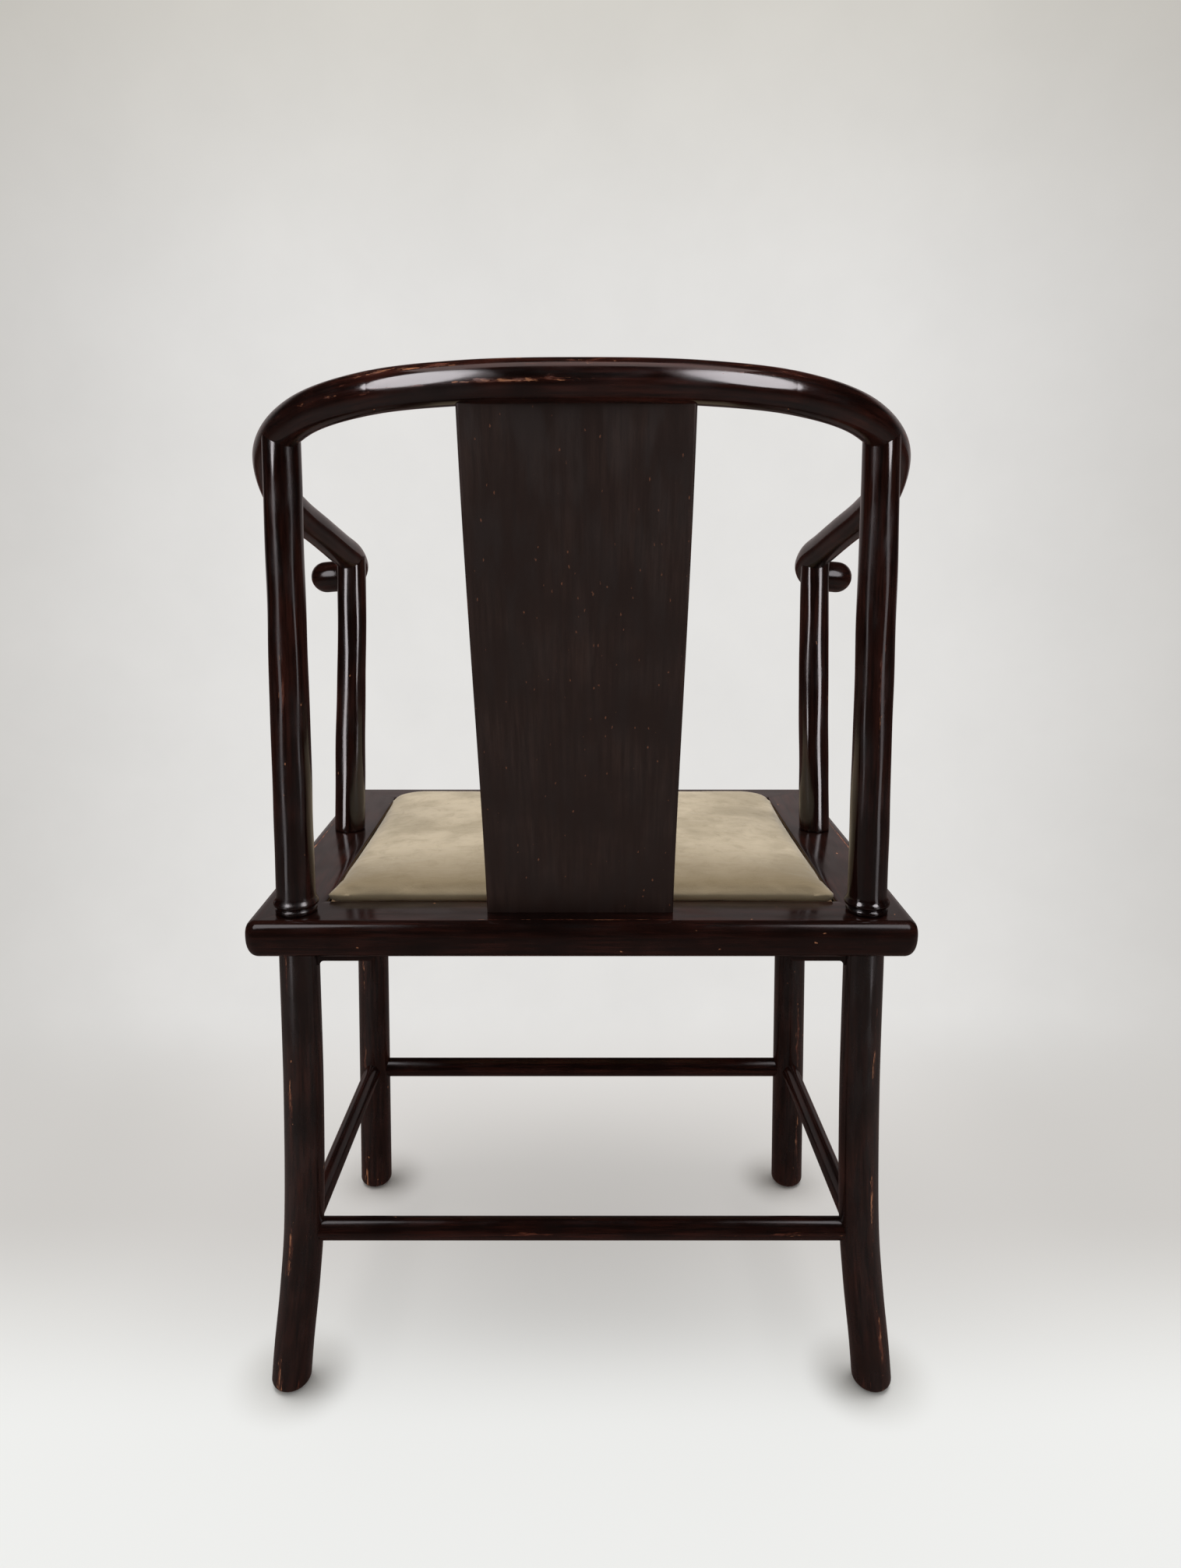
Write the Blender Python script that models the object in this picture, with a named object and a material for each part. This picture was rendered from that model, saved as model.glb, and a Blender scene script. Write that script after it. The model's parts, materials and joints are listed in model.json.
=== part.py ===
"""Horseshoe-back armchair in lacquered wood, with a slip seat.

The chair faces -Y, +X is on the right of someone who looks at its front, and Z is up.
Its origin is on the floor, in the middle of its overall width and depth. All sizes are in metres.
"""

import math

import bmesh
import bpy
import numpy as np

# Fits
MATING_GAP = 0.0003           # left between two pieces that touch
CUT_OVERRUN = 0.004           # how far a cutter runs past what it cuts
PAD_CLEARANCE = 0.0012        # slip seat to the walls of its recess

# Seat frame
SEAT_WIDTH = 0.594            # over the rounded edges
SEAT_DEPTH = 0.456
SEAT_HEIGHT = 0.513           # top of the frame above the floor
FRAME_THICKNESS = 0.0335
EDGE_SWELL = 0.010            # how far the rounded edge stands out from the flat top
CORNER_RADIUS = 0.012
REAR_RAIL_WIDTH = 0.055       # outer edge to the recess for the slip seat
SIDE_RAIL_WIDTH = 0.062
FRONT_RAIL_WIDTH = 0.048
RABBET_DEPTH = 0.014
RABBET_LEDGE = 0.012
MITRE_TENON_THICKNESS = 0.009
MITRE_TENON_REACH = 0.022     # beyond the mitre's middle

# Crest rail: the bow round the back, and the arms that run on from it to the scrolls
CREST_RADIUS = 0.0147
SCROLL_RADIUS = 0.0165        # the arm swells to this at its scroll
CREST_HEIGHT = 0.945          # centre line at the middle of the back
CREST_HALF_WIDTH = 0.2635     # centre line at its widest
BACK_OVERHANG = 0.1005        # rail's back beyond the rear edge of the seat
BOW_DEPTH = 0.185             # from the widest place back to the middle
BOW_DROP = 0.0685             # fall of the centre line along the bow
SCROLL_OVERREACH = 0.0447     # scroll in front of the arm post
ARM_DROP = 0.086              # fall of the centre line from there to the scroll
SCARF_LAP = 0.046             # length of the half-lap between two sections of the rail
WEDGE_SIZE = 0.008
WEDGE_SETBACK = 0.003         # wedge's ends below the rail's surface

# Splat
SPLAT_WIDTH = 0.1665
SPLAT_THICKNESS = 0.012
SPLAT_LEAN = 0.1105           # top behind the foot
SPLAT_TONGUE = 0.006          # thickness of the tongues at its head and foot
SPLAT_EDGE_ROUND = 0.0025

# Posts above the seat
POST_INSET = 0.0325           # rear edge of the seat to the rear posts and the splat
SIDE_INSET = 0.0405           # side edge of the seat to the rear posts and legs
REAR_POST_FOOT_RADIUS = 0.0172
REAR_POST_HEAD_RADIUS = 0.0146
REAR_POST_LEAN = 0.0172
COLLAR_RADIUS = 0.0202
COLLAR_HEIGHT = 0.0065
COLLAR_GROOVE = 0.0014
FLARE_HEIGHT = 0.014
ARM_POST_SETBACK = 0.178      # front edge of the seat to the arm posts
ARM_POST_INSET = 0.0355       # side edge of the seat to the arm posts
ARM_POST_FOOT_RADIUS = 0.0167
ARM_POST_HEAD_RADIUS = 0.0148
ARM_POST_BOW = 0.006
POST_TENON_RADIUS = 0.010
POST_SOCKET_DEPTH = 0.020     # rear post tenon into the head of the leg below
HEAD_TENON_RADIUS = 0.007
HEAD_TENON_REACH = 0.010      # past the rail's surface

# Legs
LEG_HEAD_RADIUS = 0.0179
LEG_FOOT_RADIUS = 0.0197
FOOT_ROUND = 0.009
REAR_LEG_SPLAY = 0.0405       # foot outside the head
REAR_LEG_RAKE = 0.006         # foot behind the head
FRONT_LEG_SETBACK = 0.108     # front edge of the seat to the front legs
FRONT_LEG_INSET = 0.043
FRONT_LEG_SPLAY = 0.019
FRONT_LEG_RAKE = 0.002
LEG_TENON_RADIUS = 0.011
LEG_TENON_HEIGHT = 0.022

# Stretchers: two shallow arcs that meet in a ridge on each side
STRETCHER_WIDTH = 0.0215
STRETCHER_HEIGHT = 0.025
REAR_STRETCHER_LEVEL = 0.180
SIDE_STRETCHER_LEVEL = 0.170
FRONT_STRETCHER_LEVEL = 0.169
STRETCHER_TENON_RADIUS = 0.005
TENON_WALL = 0.002            # wood left between a tenon's end and its neighbour in the leg

# Spandrels: small boards in the angle of leg and seat frame
SPANDREL_LENGTH = 0.052
SPANDREL_DEPTH = 0.0135
SPANDREL_THICKNESS = 0.009
SPANDREL_FILLET = 0.0045

# Slip seat and what carries it
BOARD_THICKNESS = 0.009
BATTEN_WIDTH = 0.032
BATTEN_HEIGHT = 0.015
BATTEN_SPACING = 0.190
BATTEN_TENON_THICKNESS = 0.008
BATTEN_TENON_LENGTH = 0.015
PAD_CROWN = 0.017             # crown above the top of the frame
PAD_EDGE_RISE = 0.004
PAD_REAR_CORNER = 0.008
PAD_FRONT_CORNER = 0.026
PAD_DRAW_IN = 0.002
PAD_UNDERCUT = 0.003

# Facets
ROUND_SIDES = 20
CREST_SIDES = 20
EDGE_STEPS = 8
FACET_SPAN = 1.1              # rail facets along the bow, in rail radii
SCROLL_SPAN = 5.5             # tight end of the rail, in rail radii
SCROLL_FACET_SPAN = 0.5
STATION_MARGIN = 1e-4
ARC_STEPS = 5
PAD_SIDE_STEPS = 7
SMOOTH_ANGLE = math.radians(35.0)

# Shares of the rail's half length where its sections meet, and of the arm's path
SCARF_SHARES = (0.235, 0.640)
MITRE_GAP_SHARE = 0.75
SWELL_START_SHARE = 0.72
SCROLL_CAP_SHARE = 0.935
BOW_FALL_POWER = 1.6
SPLAT_CURVE_POWER = 0.95
SPLAT_SWEEP_SHARE = 0.5        # of the lean that follows the S, the rest being straight
STRETCHER_FULLNESS_POWER = 0.75
EDGE_TOP_POWER = 3.0
EDGE_BOTTOM_POWER = 2.3
# across the half width, along the arm's reach, down the arm's drop
ARM_SHARES = (
    (0.994, 0.200, 0.200),
    (0.967, 0.425, 0.400),
    (0.946, 0.645, 0.590),
    (0.932, 0.805, 0.730),
    (0.940, 0.905, 0.865),
    (0.980, 0.980, 0.965),
    (1.070, 1.000, 1.000),
)
# height up the leg, outward flare
SABRE_SHARES = ((1.0, 0.0), (0.69, 0.15), (0.40, 0.37), (0.25, 0.58), (0.094, 0.855), (0.0, 1.0))
LEG_LEVEL_SHARES = (1.0, 0.84, 0.69, 0.54, 0.40, 0.32, 0.25, 0.17, 0.094, 0.045)
FOOT_SHARES = ((1.0, 0.0), (0.55, 0.10), (0.22, 0.30), (0.06, 0.60), (0.0, 1.0))
PAD_CROWN_SHARES = (0.993, 0.98, 0.95, 0.90, 0.82, 0.68, 0.50, 0.25)
PAD_FULLNESS_POWER = 3.0
FLARE_SHARES = ((0.0, 1.0), (0.20, 0.62), (0.50, 0.25), (1.0, 0.0))
BATTEN_TENON_SHARE = 0.75
SLOPE_STEP_SHARE = 0.01
STEEP_SHARE = 0.9
SPANDREL_TIP_SHARE = 0.55

LACQUER = {"colour": (0.030, 0.014, 0.012), "roughness": 0.22}
SATIN_LACQUER = {"colour": (0.022, 0.014, 0.013), "roughness": 0.42}
RAW_WOOD = {"colour": (0.36, 0.23, 0.13), "roughness": 0.75}
LEATHER = {"colour": (0.42, 0.37, 0.27), "roughness": 0.72}

# Places worked out from the sizes
TOTAL_DEPTH = SEAT_DEPTH + BACK_OVERHANG
SEAT_REAR = TOTAL_DEPTH / 2 - BACK_OVERHANG
SEAT_FRONT = -TOTAL_DEPTH / 2
SEAT_SIDE = SEAT_WIDTH / 2
FRAME_BOTTOM = SEAT_HEIGHT - FRAME_THICKNESS
LEDGE_LEVEL = SEAT_HEIGHT - RABBET_DEPTH
LEG_LENGTH = FRAME_BOTTOM - MATING_GAP
BACK_LINE = SEAT_REAR - POST_INSET
REAR_LEG_X = SEAT_SIDE - SIDE_INSET
FRONT_LEG_X = SEAT_SIDE - FRONT_LEG_INSET
FRONT_LEG_Y = SEAT_FRONT + FRONT_LEG_SETBACK
ARM_POST_X = SEAT_SIDE - ARM_POST_INSET
ARM_POST_Y = SEAT_FRONT + ARM_POST_SETBACK
CREST_BACK_Y = TOTAL_DEPTH / 2 - CREST_RADIUS
CREST_WIDEST_Y = CREST_BACK_Y - BOW_DEPTH
ARM_REACH = CREST_WIDEST_Y - ARM_POST_Y + SCROLL_OVERREACH
SIDES = {"right": 1, "left": -1}


def clear_scene():
    for thing in list(bpy.data.objects):
        bpy.data.objects.remove(thing, do_unlink=True)


def make_material(name, finish):
    material = bpy.data.materials.new(name)
    material.use_nodes = True
    shader = material.node_tree.nodes["Principled BSDF"]
    shader.inputs["Base Color"].default_value = (*finish["colour"], 1)
    shader.inputs["Roughness"].default_value = finish["roughness"]
    shader.inputs["Metallic"].default_value = 0
    return material


def add_object(name, mesh_data, finish=None):
    """Put a bmesh into the scene: a piece with its material, or, with no finish, a hidden cutter."""
    mesh = bpy.data.meshes.new(name)
    mesh_data.to_mesh(mesh)
    mesh_data.free()
    piece = bpy.data.objects.new(name, mesh)
    bpy.context.collection.objects.link(piece)
    if finish is None:
        piece.hide_render = True
        piece.display_type = "WIRE"
    else:
        mesh.shade_smooth()
        mesh.set_sharp_from_angle(angle=SMOOTH_ANGLE)
        mesh.materials.append(make_material(name + "_finish", finish))
    return piece


def combine(piece, other, operation):
    modifier = piece.modifiers.new(other.name, "BOOLEAN")
    modifier.operation = operation
    modifier.solver = "EXACT"
    modifier.object = other


def loft(rings):
    """Close a row of rings, each with as many points, into one solid."""
    solid = bmesh.new()
    rows = [[solid.verts.new(point) for point in ring] for ring in rings]
    for row, following in zip(rows, rows[1:]):
        for k in range(len(row)):
            after = (k + 1) % len(row)
            solid.faces.new((row[k], row[after], following[after], following[k]))
    solid.faces.new(rows[0])
    solid.faces.new(rows[-1])
    bmesh.ops.recalc_face_normals(solid, faces=solid.faces)
    return solid


def box(low, high):
    corners = ((low[0], low[1]), (high[0], low[1]), (high[0], high[1]), (low[0], high[1]))
    return loft([[(x, y, z) for x, y in corners] for z in (low[2], high[2])])


def level_ring(centre, radius, sides=ROUND_SIDES):
    """Points of a level circle."""
    turn = np.arange(sides) * (2 * math.pi / sides)
    return np.array(centre) + radius * np.stack([np.cos(turn), np.sin(turn), 0 * turn], axis=1)


def upright_rod(centre, radius, bottom, top):
    return loft([level_ring((centre[0], centre[1], z), radius) for z in (bottom, top)])


def rod_between(start, end, radius):
    """A round rod between two points."""
    start = np.array(start)
    end = np.array(end)
    along = (end - start) / np.linalg.norm(end - start)
    across = np.cross(along, (0, 0, 1)) if abs(along[2]) < STEEP_SHARE else np.cross(along, (0, 1, 0))
    across = across / np.linalg.norm(across)
    upward = np.cross(across, along)
    turn = np.arange(ROUND_SIDES) * (2 * math.pi / ROUND_SIDES)
    ring = radius * (np.outer(np.cos(turn), across) + np.outer(np.sin(turn), upward))
    return loft([start + ring, end + ring])


def mirror_x(points, side):
    return np.array(points) * np.array((side, 1, 1))


class SmoothPath:
    """A smooth curve through points, read by its share of length from 0 to 1."""

    def __init__(self, points, steps=24):
        knots = np.array(points, dtype=float)
        padded = np.vstack([2 * knots[0] - knots[1], knots, 2 * knots[-1] - knots[-2]])
        fine = []
        for k in range(len(knots) - 1):
            fine.append(self.stretch(padded[k:k + 4], steps))
        self.points = np.vstack(fine + [knots[-1:]])
        runs = np.linalg.norm(np.diff(self.points, axis=0), axis=1)
        self.lengths = np.concatenate([[0], np.cumsum(runs)])
        self.length = self.lengths[-1]

    @staticmethod
    def stretch(four, steps):
        """Centripetal Catmull-Rom spline between the middle two of four points."""
        times = np.concatenate([[0], np.cumsum(np.linalg.norm(np.diff(four, axis=0), axis=1) ** 0.5)])
        t = np.linspace(times[1], times[2], steps, endpoint=False)[:, None]

        def blend(a, b, start, end):
            return ((end - t) * a + (t - start) * b) / (end - start)

        first = [blend(four[k], four[k + 1], times[k], times[k + 1]) for k in range(3)]
        second = [blend(first[k], first[k + 1], times[k], times[k + 2]) for k in range(2)]
        return blend(second[0], second[1], times[1], times[2])

    def at(self, share):
        """Point at a share of the length; past the ends it runs straight on."""
        place = share * self.length
        if place < 0:
            return self.points[0] + place * self.heading(0)
        if place > self.length:
            return self.points[-1] + (place - self.length) * self.heading(1)
        return np.array([np.interp(place, self.lengths, self.points[:, k]) for k in range(3)])

    def heading(self, share):
        place = min(max(share * self.length, 0), self.length)
        k = min(max(int(np.searchsorted(self.lengths, place)), 1), len(self.points) - 1)
        low = max(k - 3, 0)
        high = min(k + 2, len(self.points) - 1)
        run = self.points[high] - self.points[low]
        return run / np.linalg.norm(run)

    def frame(self, share):
        """Point, heading, level direction across and direction upward at a share."""
        along = self.heading(share)
        across = np.cross(along, (0, 0, 1))
        across = across / np.linalg.norm(across)
        return self.at(share), along, across, np.cross(across, along)


def crest_half_points():
    """Centre line of the rail from the middle of the back to the right scroll."""
    points = []
    steps = 6
    for k in range(steps):
        turn = 0.5 * math.pi * k / (steps - 1)
        points.append((
            CREST_HALF_WIDTH * math.sin(turn),
            CREST_WIDEST_Y + BOW_DEPTH * math.cos(turn),
            CREST_HEIGHT - BOW_DROP * (1 - math.cos(turn)) ** BOW_FALL_POWER,
        ))
    for across_share, reach_share, drop_share in ARM_SHARES:
        points.append((
            CREST_HALF_WIDTH * across_share,
            CREST_WIDEST_Y - ARM_REACH * reach_share,
            CREST_HEIGHT - BOW_DROP - ARM_DROP * drop_share,
        ))
    return points


def crest_path():
    """Whole centre line of the rail, from the left scroll (0) to the right one (1)."""
    half = crest_half_points()
    return SmoothPath([(-x, y, z) for x, y, z in half[:0:-1]] + half)


def crest_stations():
    """Shares of the rail's length where its facets meet: closer together in the scrolls."""
    path = crest_path()
    share = CREST_RADIUS / path.length
    bow = np.linspace(0, 0.5 - SCROLL_SPAN * share, int(round((0.5 / share - SCROLL_SPAN) / FACET_SPAN)) + 1)
    scroll = np.linspace(bow[-1], 0.5, int(round(SCROLL_SPAN / SCROLL_FACET_SPAN)) + 1)[1:]
    half = np.concatenate([bow, scroll])
    return np.concatenate([0.5 - half[:0:-1], 0.5 + half]), path


def swelled_radius(share):
    """Radius of the rail, which swells near each end to the scroll."""
    grown = max(0, (abs(2 * share - 1) - SWELL_START_SHARE) / (1 - SWELL_START_SHARE))
    return CREST_RADIUS + (SCROLL_RADIUS - CREST_RADIUS) * grown * grown * (3 - 2 * grown)


STATIONS, CREST = crest_stations()
STATION_FRAMES = np.array([CREST.frame(share) for share in STATIONS])
STATION_RADII = np.array([swelled_radius(share) for share in STATIONS])


def crest_frame(share):
    """Point, heading, direction across and upward on the faceted rail, linear between stations."""
    return [np.array([np.interp(share, STATIONS, STATION_FRAMES[:, part, k]) for k in range(3)])
            for part in range(4)]


def crest_radius(share):
    return float(np.interp(share, STATIONS, STATION_RADII))


def crest_share(side, half_share):
    """Share of the whole rail at a share of its half, counted from the middle of the back."""
    return 0.5 + 0.5 * side * half_share


def half_share_at_depth(y):
    """Share of the rail's half where the bow or the arm passes over a depth."""
    shares = np.linspace(0, 1, 1000)
    depths = np.array([crest_frame(crest_share(1, share))[0][1] for share in shares])
    return float(shares[np.argmax(depths <= y)])


def crest_ring(share, clearance=0):
    centre, _, across, upward = crest_frame(share)
    radius = crest_radius(share) + clearance
    turn = np.arange(CREST_SIDES) * (2 * math.pi / CREST_SIDES)
    return centre + radius * (np.outer(np.cos(turn), across) + np.outer(np.sin(turn), upward))


def crest_shares(low, high):
    """Ends of a stretch of the rail and the stations between them."""
    inside = STATIONS[(STATIONS > low + STATION_MARGIN) & (STATIONS < high - STATION_MARGIN)]
    return [low, *inside, high]


def crest_clearance(name, low, high):
    """Rail with its mating gap, for coping what stands against it."""
    rings = [crest_ring(share, MATING_GAP) for share in crest_shares(low, high)]
    return add_object(name, loft(rings))


def scroll_rings(side):
    """Rounded end of the rail beyond its last station."""
    end = crest_share(side, 1)
    centre, along, across, upward = crest_frame(end)
    turn = np.arange(CREST_SIDES) * (2 * math.pi / CREST_SIDES)
    circle = np.outer(np.cos(turn), across) + np.outer(np.sin(turn), upward)
    rings = []
    steps = 5
    for k in range(1, steps + 1):
        angle = 0.5 * math.pi * SCROLL_CAP_SHARE * k / steps
        middle = centre + side * along * SCROLL_RADIUS * math.sin(angle)
        rings.append(middle + SCROLL_RADIUS * math.cos(angle) * circle)
    return rings


def half_lap(piece, joint_share, toward_middle):
    """Saw one half of a scarf: the section nearer the middle keeps the upper half of the lap.

    The waste is an L in side view, with its lengths taken outward from the middle of the lap.
    """
    side = 1 if joint_share > 0.5 else -1
    centre, along, across, upward = crest_frame(joint_share)
    outward = side * along if toward_middle else -side * along
    lap = SCARF_LAP / 2
    reach = CREST_RADIUS + CUT_OVERRUN
    far = lap + 3 * CUT_OVERRUN
    waste = ((-lap - MATING_GAP, -reach), (far, -reach), (far, reach), (lap, reach),
             (lap, MATING_GAP / 2), (-lap - MATING_GAP, MATING_GAP / 2))
    turn_over = 1 if toward_middle else -1
    rings = [[centre + width * across + length * outward + turn_over * height * upward
              for length, height in waste] for width in (-reach, reach)]
    combine(piece, add_object(piece.name + "_lap_cutter", loft(rings)), "DIFFERENCE")


def wedge_solid(joint_share, clearance, half_length):
    """Square wedge across the rail, on the plane of the half-lap."""
    centre, along, across, upward = crest_frame(joint_share)
    half = WEDGE_SIZE / 2 + clearance
    corners = ((-half, -half), (half, -half), (half, half), (-half, half))
    return loft([
        [centre + reach * across + u * along + v * upward for u, v in corners]
        for reach in (-half_length, half_length)
    ])


def wedge_half_length():
    return CREST_RADIUS - WEDGE_SETBACK


def crest_section(name, low, high, inner_joints, outer_joints, scroll_side=0):
    """One section of the rail with its half-laps and wedge slots."""
    lap = (SCARF_LAP / 2 + 2 * CUT_OVERRUN) / CREST.length
    start = low - lap if low > 0 else 0
    end = high + lap if high < 1 else 1
    rings = [crest_ring(share) for share in crest_shares(start, end)]
    if scroll_side == 1:
        rings = rings + scroll_rings(1)
    if scroll_side == -1:
        rings = scroll_rings(-1)[::-1] + rings
    piece = add_object(name, loft(rings), LACQUER)
    for joint in inner_joints:
        half_lap(piece, joint, True)
    for joint in outer_joints:
        half_lap(piece, joint, False)
    for joint in list(inner_joints) + list(outer_joints):
        slot = wedge_solid(joint, MATING_GAP, wedge_half_length() + MATING_GAP)
        combine(piece, add_object(name + "_wedge_slot", slot), "DIFFERENCE")
    return piece


def build_crest_rail():
    """Five sections, joined by half-lapped scarfs that square wedges lock."""
    middle_share, arm_share = SCARF_SHARES
    joints = {}
    for label, side in SIDES.items():
        joints[label] = (crest_share(side, middle_share), crest_share(side, arm_share))
    sections = {
        "crest_rail_middle": crest_section(
            "crest_rail_middle", joints["left"][0], joints["right"][0],
            [joints["left"][0], joints["right"][0]], []),
    }
    for label, side in SIDES.items():
        near, far = joints[label]
        low, high = min(near, far), max(near, far)
        name = "crest_rail_shoulder_" + label
        sections[name] = crest_section(name, low, high, [far], [near])
        name = "arm_rail_" + label
        ends = (far, 1) if side == 1 else (0, far)
        sections[name] = crest_section(name, *ends, [], [far], scroll_side=side)
        for place, joint in (("back", near), ("arm", far)):
            wedge = wedge_solid(joint, 0, wedge_half_length())
            add_object("scarf_wedge_{}_{}".format(place, label), wedge, RAW_WOOD)
    return sections


def post_rings(foot, head, radii, bow, side, levels):
    """Rings of a post whose centre line goes from foot to head with a slight bow to the front."""
    rings = []
    for share in np.linspace(0, 1, levels):
        centre = np.array(foot) + share * (np.array(head) - np.array(foot))
        centre = centre + np.array((0, -bow * math.sin(math.pi * share), 0))
        rings.append((centre, radii[0] + share * (radii[1] - radii[0])))
    return [(mirror_x(centre, side), radius) for centre, radius in rings]


def collar_rings(foot, head, side, radius):
    """Turned collar at the post's foot: ring, groove, and a hollow flare up to the leaning post."""
    z = foot[2]
    rings = [
        (z, COLLAR_RADIUS - COLLAR_GROOVE),
        (z + COLLAR_GROOVE, COLLAR_RADIUS),
        (z + COLLAR_HEIGHT - COLLAR_GROOVE, COLLAR_RADIUS),
        (z + COLLAR_HEIGHT, COLLAR_RADIUS - COLLAR_GROOVE),
        (z + COLLAR_HEIGHT + COLLAR_GROOVE, COLLAR_RADIUS),
    ]
    start = z + COLLAR_HEIGHT + COLLAR_GROOVE
    for height_share, flare_share in FLARE_SHARES[1:]:
        rings.append((start + FLARE_HEIGHT * height_share, radius + (COLLAR_RADIUS - radius) * flare_share))
    lean = (np.array(head) - np.array(foot)) / (head[2] - z)
    return [level_ring(mirror_x(foot + lean * (level - z), side), size) for level, size in rings]


def add_head_joint(post, section, top, side, base, half_share):
    """Cope the post's head to the rail, and add a tenon with its mortise in the rail."""
    share = crest_share(side, half_share)
    rail = crest_radius(share)
    span = 2 * rail / CREST.length
    clearance = crest_clearance(post.name + "_cope", share - span, share + span)
    combine(post, clearance, "DIFFERENCE")
    top = np.array(top)
    base = np.array(base)
    along = (top - base) / np.linalg.norm(top - base)
    tip = top - along * (rail - HEAD_TENON_REACH)
    root = top - along * (rail + HEAD_TENON_REACH)
    tenon = rod_between(mirror_x(root, side), mirror_x(tip, side), HEAD_TENON_RADIUS)
    combine(post, add_object(post.name + "_tenon", tenon), "UNION")
    mortise = rod_between(mirror_x(root, side), mirror_x(tip + along * MATING_GAP, side),
                          HEAD_TENON_RADIUS + MATING_GAP)
    combine(section, add_object(post.name + "_mortise", mortise), "DIFFERENCE")


def section_for(sections, label, half_share):
    """Rail section that spans a share of the half rail."""
    if half_share < SCARF_SHARES[0]:
        return sections["crest_rail_middle"]
    if half_share < SCARF_SHARES[1]:
        return sections["crest_rail_shoulder_" + label]
    return sections["arm_rail_" + label]


def build_rear_posts(sections, frame):
    """Rear posts: a tenon through the frame into the leg, a turned collar, and a coped head."""
    for label, side in SIDES.items():
        foot = (REAR_LEG_X, BACK_LINE, SEAT_HEIGHT + MATING_GAP)
        half_share = half_share_at_depth(BACK_LINE + REAR_POST_LEAN)
        head = crest_frame(crest_share(1, half_share))[0]
        tenon_bottom = FRAME_BOTTOM - POST_SOCKET_DEPTH
        rings = [level_ring((side * foot[0], foot[1], z), POST_TENON_RADIUS)
                 for z in (tenon_bottom, foot[2])]
        rings += collar_rings(foot, head, side, REAR_POST_FOOT_RADIUS)
        lift = (COLLAR_HEIGHT + COLLAR_GROOVE + FLARE_HEIGHT) / (head[2] - foot[2])
        shaft_foot = np.array(foot) + lift * (head - np.array(foot))
        shaft = post_rings(shaft_foot, head, (REAR_POST_FOOT_RADIUS, REAR_POST_HEAD_RADIUS), 0, side, 6)
        rings += [level_ring(centre, radius) for centre, radius in shaft[1:]]
        post = add_object("rear_post_" + label, loft(rings), LACQUER)
        add_head_joint(post, section_for(sections, label, half_share), head, side, shaft_foot, half_share)
        hole = upright_rod((side * foot[0], foot[1]), POST_TENON_RADIUS + MATING_GAP,
                           FRAME_BOTTOM - CUT_OVERRUN, SEAT_HEIGHT + CUT_OVERRUN)
        hole = add_object(post.name + "_hole", hole)
        combine(frame["seat_rail_rear"], hole, "DIFFERENCE")
        combine(frame["seat_rail_" + label], hole, "DIFFERENCE")


def build_arm_posts(sections, frame):
    """Arm posts, set back from the front legs and stub-tenoned into the side rails."""
    for label, side in SIDES.items():
        foot = (ARM_POST_X, ARM_POST_Y, SEAT_HEIGHT + MATING_GAP)
        half_share = half_share_at_depth(ARM_POST_Y)
        head = crest_frame(crest_share(1, half_share))[0]
        tenon_bottom = SEAT_HEIGHT - POST_SOCKET_DEPTH
        rings = [level_ring((side * foot[0], foot[1], z), POST_TENON_RADIUS)
                 for z in (tenon_bottom, foot[2])]
        radii = (ARM_POST_FOOT_RADIUS, ARM_POST_HEAD_RADIUS)
        shaft = post_rings(foot, head, radii, ARM_POST_BOW, side, 9)
        rings += [level_ring(centre, radius) for centre, radius in shaft]
        post = add_object("arm_post_" + label, loft(rings), LACQUER)
        add_head_joint(post, section_for(sections, label, half_share), head, side, foot, half_share)
        socket = upright_rod((side * foot[0], foot[1]), POST_TENON_RADIUS + MATING_GAP,
                             tenon_bottom - MATING_GAP, SEAT_HEIGHT + CUT_OVERRUN)
        combine(frame["seat_rail_" + label], add_object(post.name + "_socket", socket), "DIFFERENCE")


def edge_profile(width):
    """Section of a seat rail: distance in from the outer edge, and height."""
    middle = (SEAT_HEIGHT + FRAME_BOTTOM) / 2
    points = []
    for k in range(EDGE_STEPS + 1):
        turn = math.pi * (k / EDGE_STEPS - 0.5)
        power = EDGE_TOP_POWER if turn > 0 else EDGE_BOTTOM_POWER
        out = abs(math.cos(turn)) ** (2 / power)
        up = math.copysign(abs(math.sin(turn)) ** (2 / power), turn)
        points.append((EDGE_SWELL * (1 - out), middle + FRAME_THICKNESS / 2 * up))
    points.append((width, SEAT_HEIGHT))
    points.append((width, LEDGE_LEVEL))
    points.append((width + RABBET_LEDGE, LEDGE_LEVEL))
    points.append((width + RABBET_LEDGE, FRAME_BOTTOM))
    return points


def mitred_rail(name, width, neighbour_width, half_length, place):
    """Rail along its own length, cut at both ends to the mitre with its neighbours.

    place turns distance along, distance in from the edge and height into a point.
    """
    def end(sign, neighbour):
        ring = []
        for inward, z in edge_profile(width):
            along = half_length[sign] - inward * neighbour / width - MATING_GAP * MITRE_GAP_SHARE
            ring.append(place(sign * along, inward, z))
        return ring

    ends = [end(-1, neighbour_width[-1]), end(1, neighbour_width[1])]
    return add_object(name, loft(ends), LACQUER)


def rounded_outline(half_x, low_y, high_y, radii):
    """Rectangle with rounded corners, anticlockwise from the right rear; radii are rear, front."""
    rear, front = radii
    corners = (
        (half_x, high_y, rear, 0), (-half_x, high_y, rear, 1),
        (-half_x, low_y, front, 2), (half_x, low_y, front, 3),
    )
    points = []
    for x, y, radius, quarter in corners:
        centre = (x - math.copysign(radius, x), high_y - rear if quarter < 2 else low_y + front)
        for k in range(ARC_STEPS + 1):
            turn = 0.5 * math.pi * (quarter + k / ARC_STEPS)
            points.append((centre[0] + radius * math.cos(turn), centre[1] + radius * math.sin(turn)))
    return points


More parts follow.
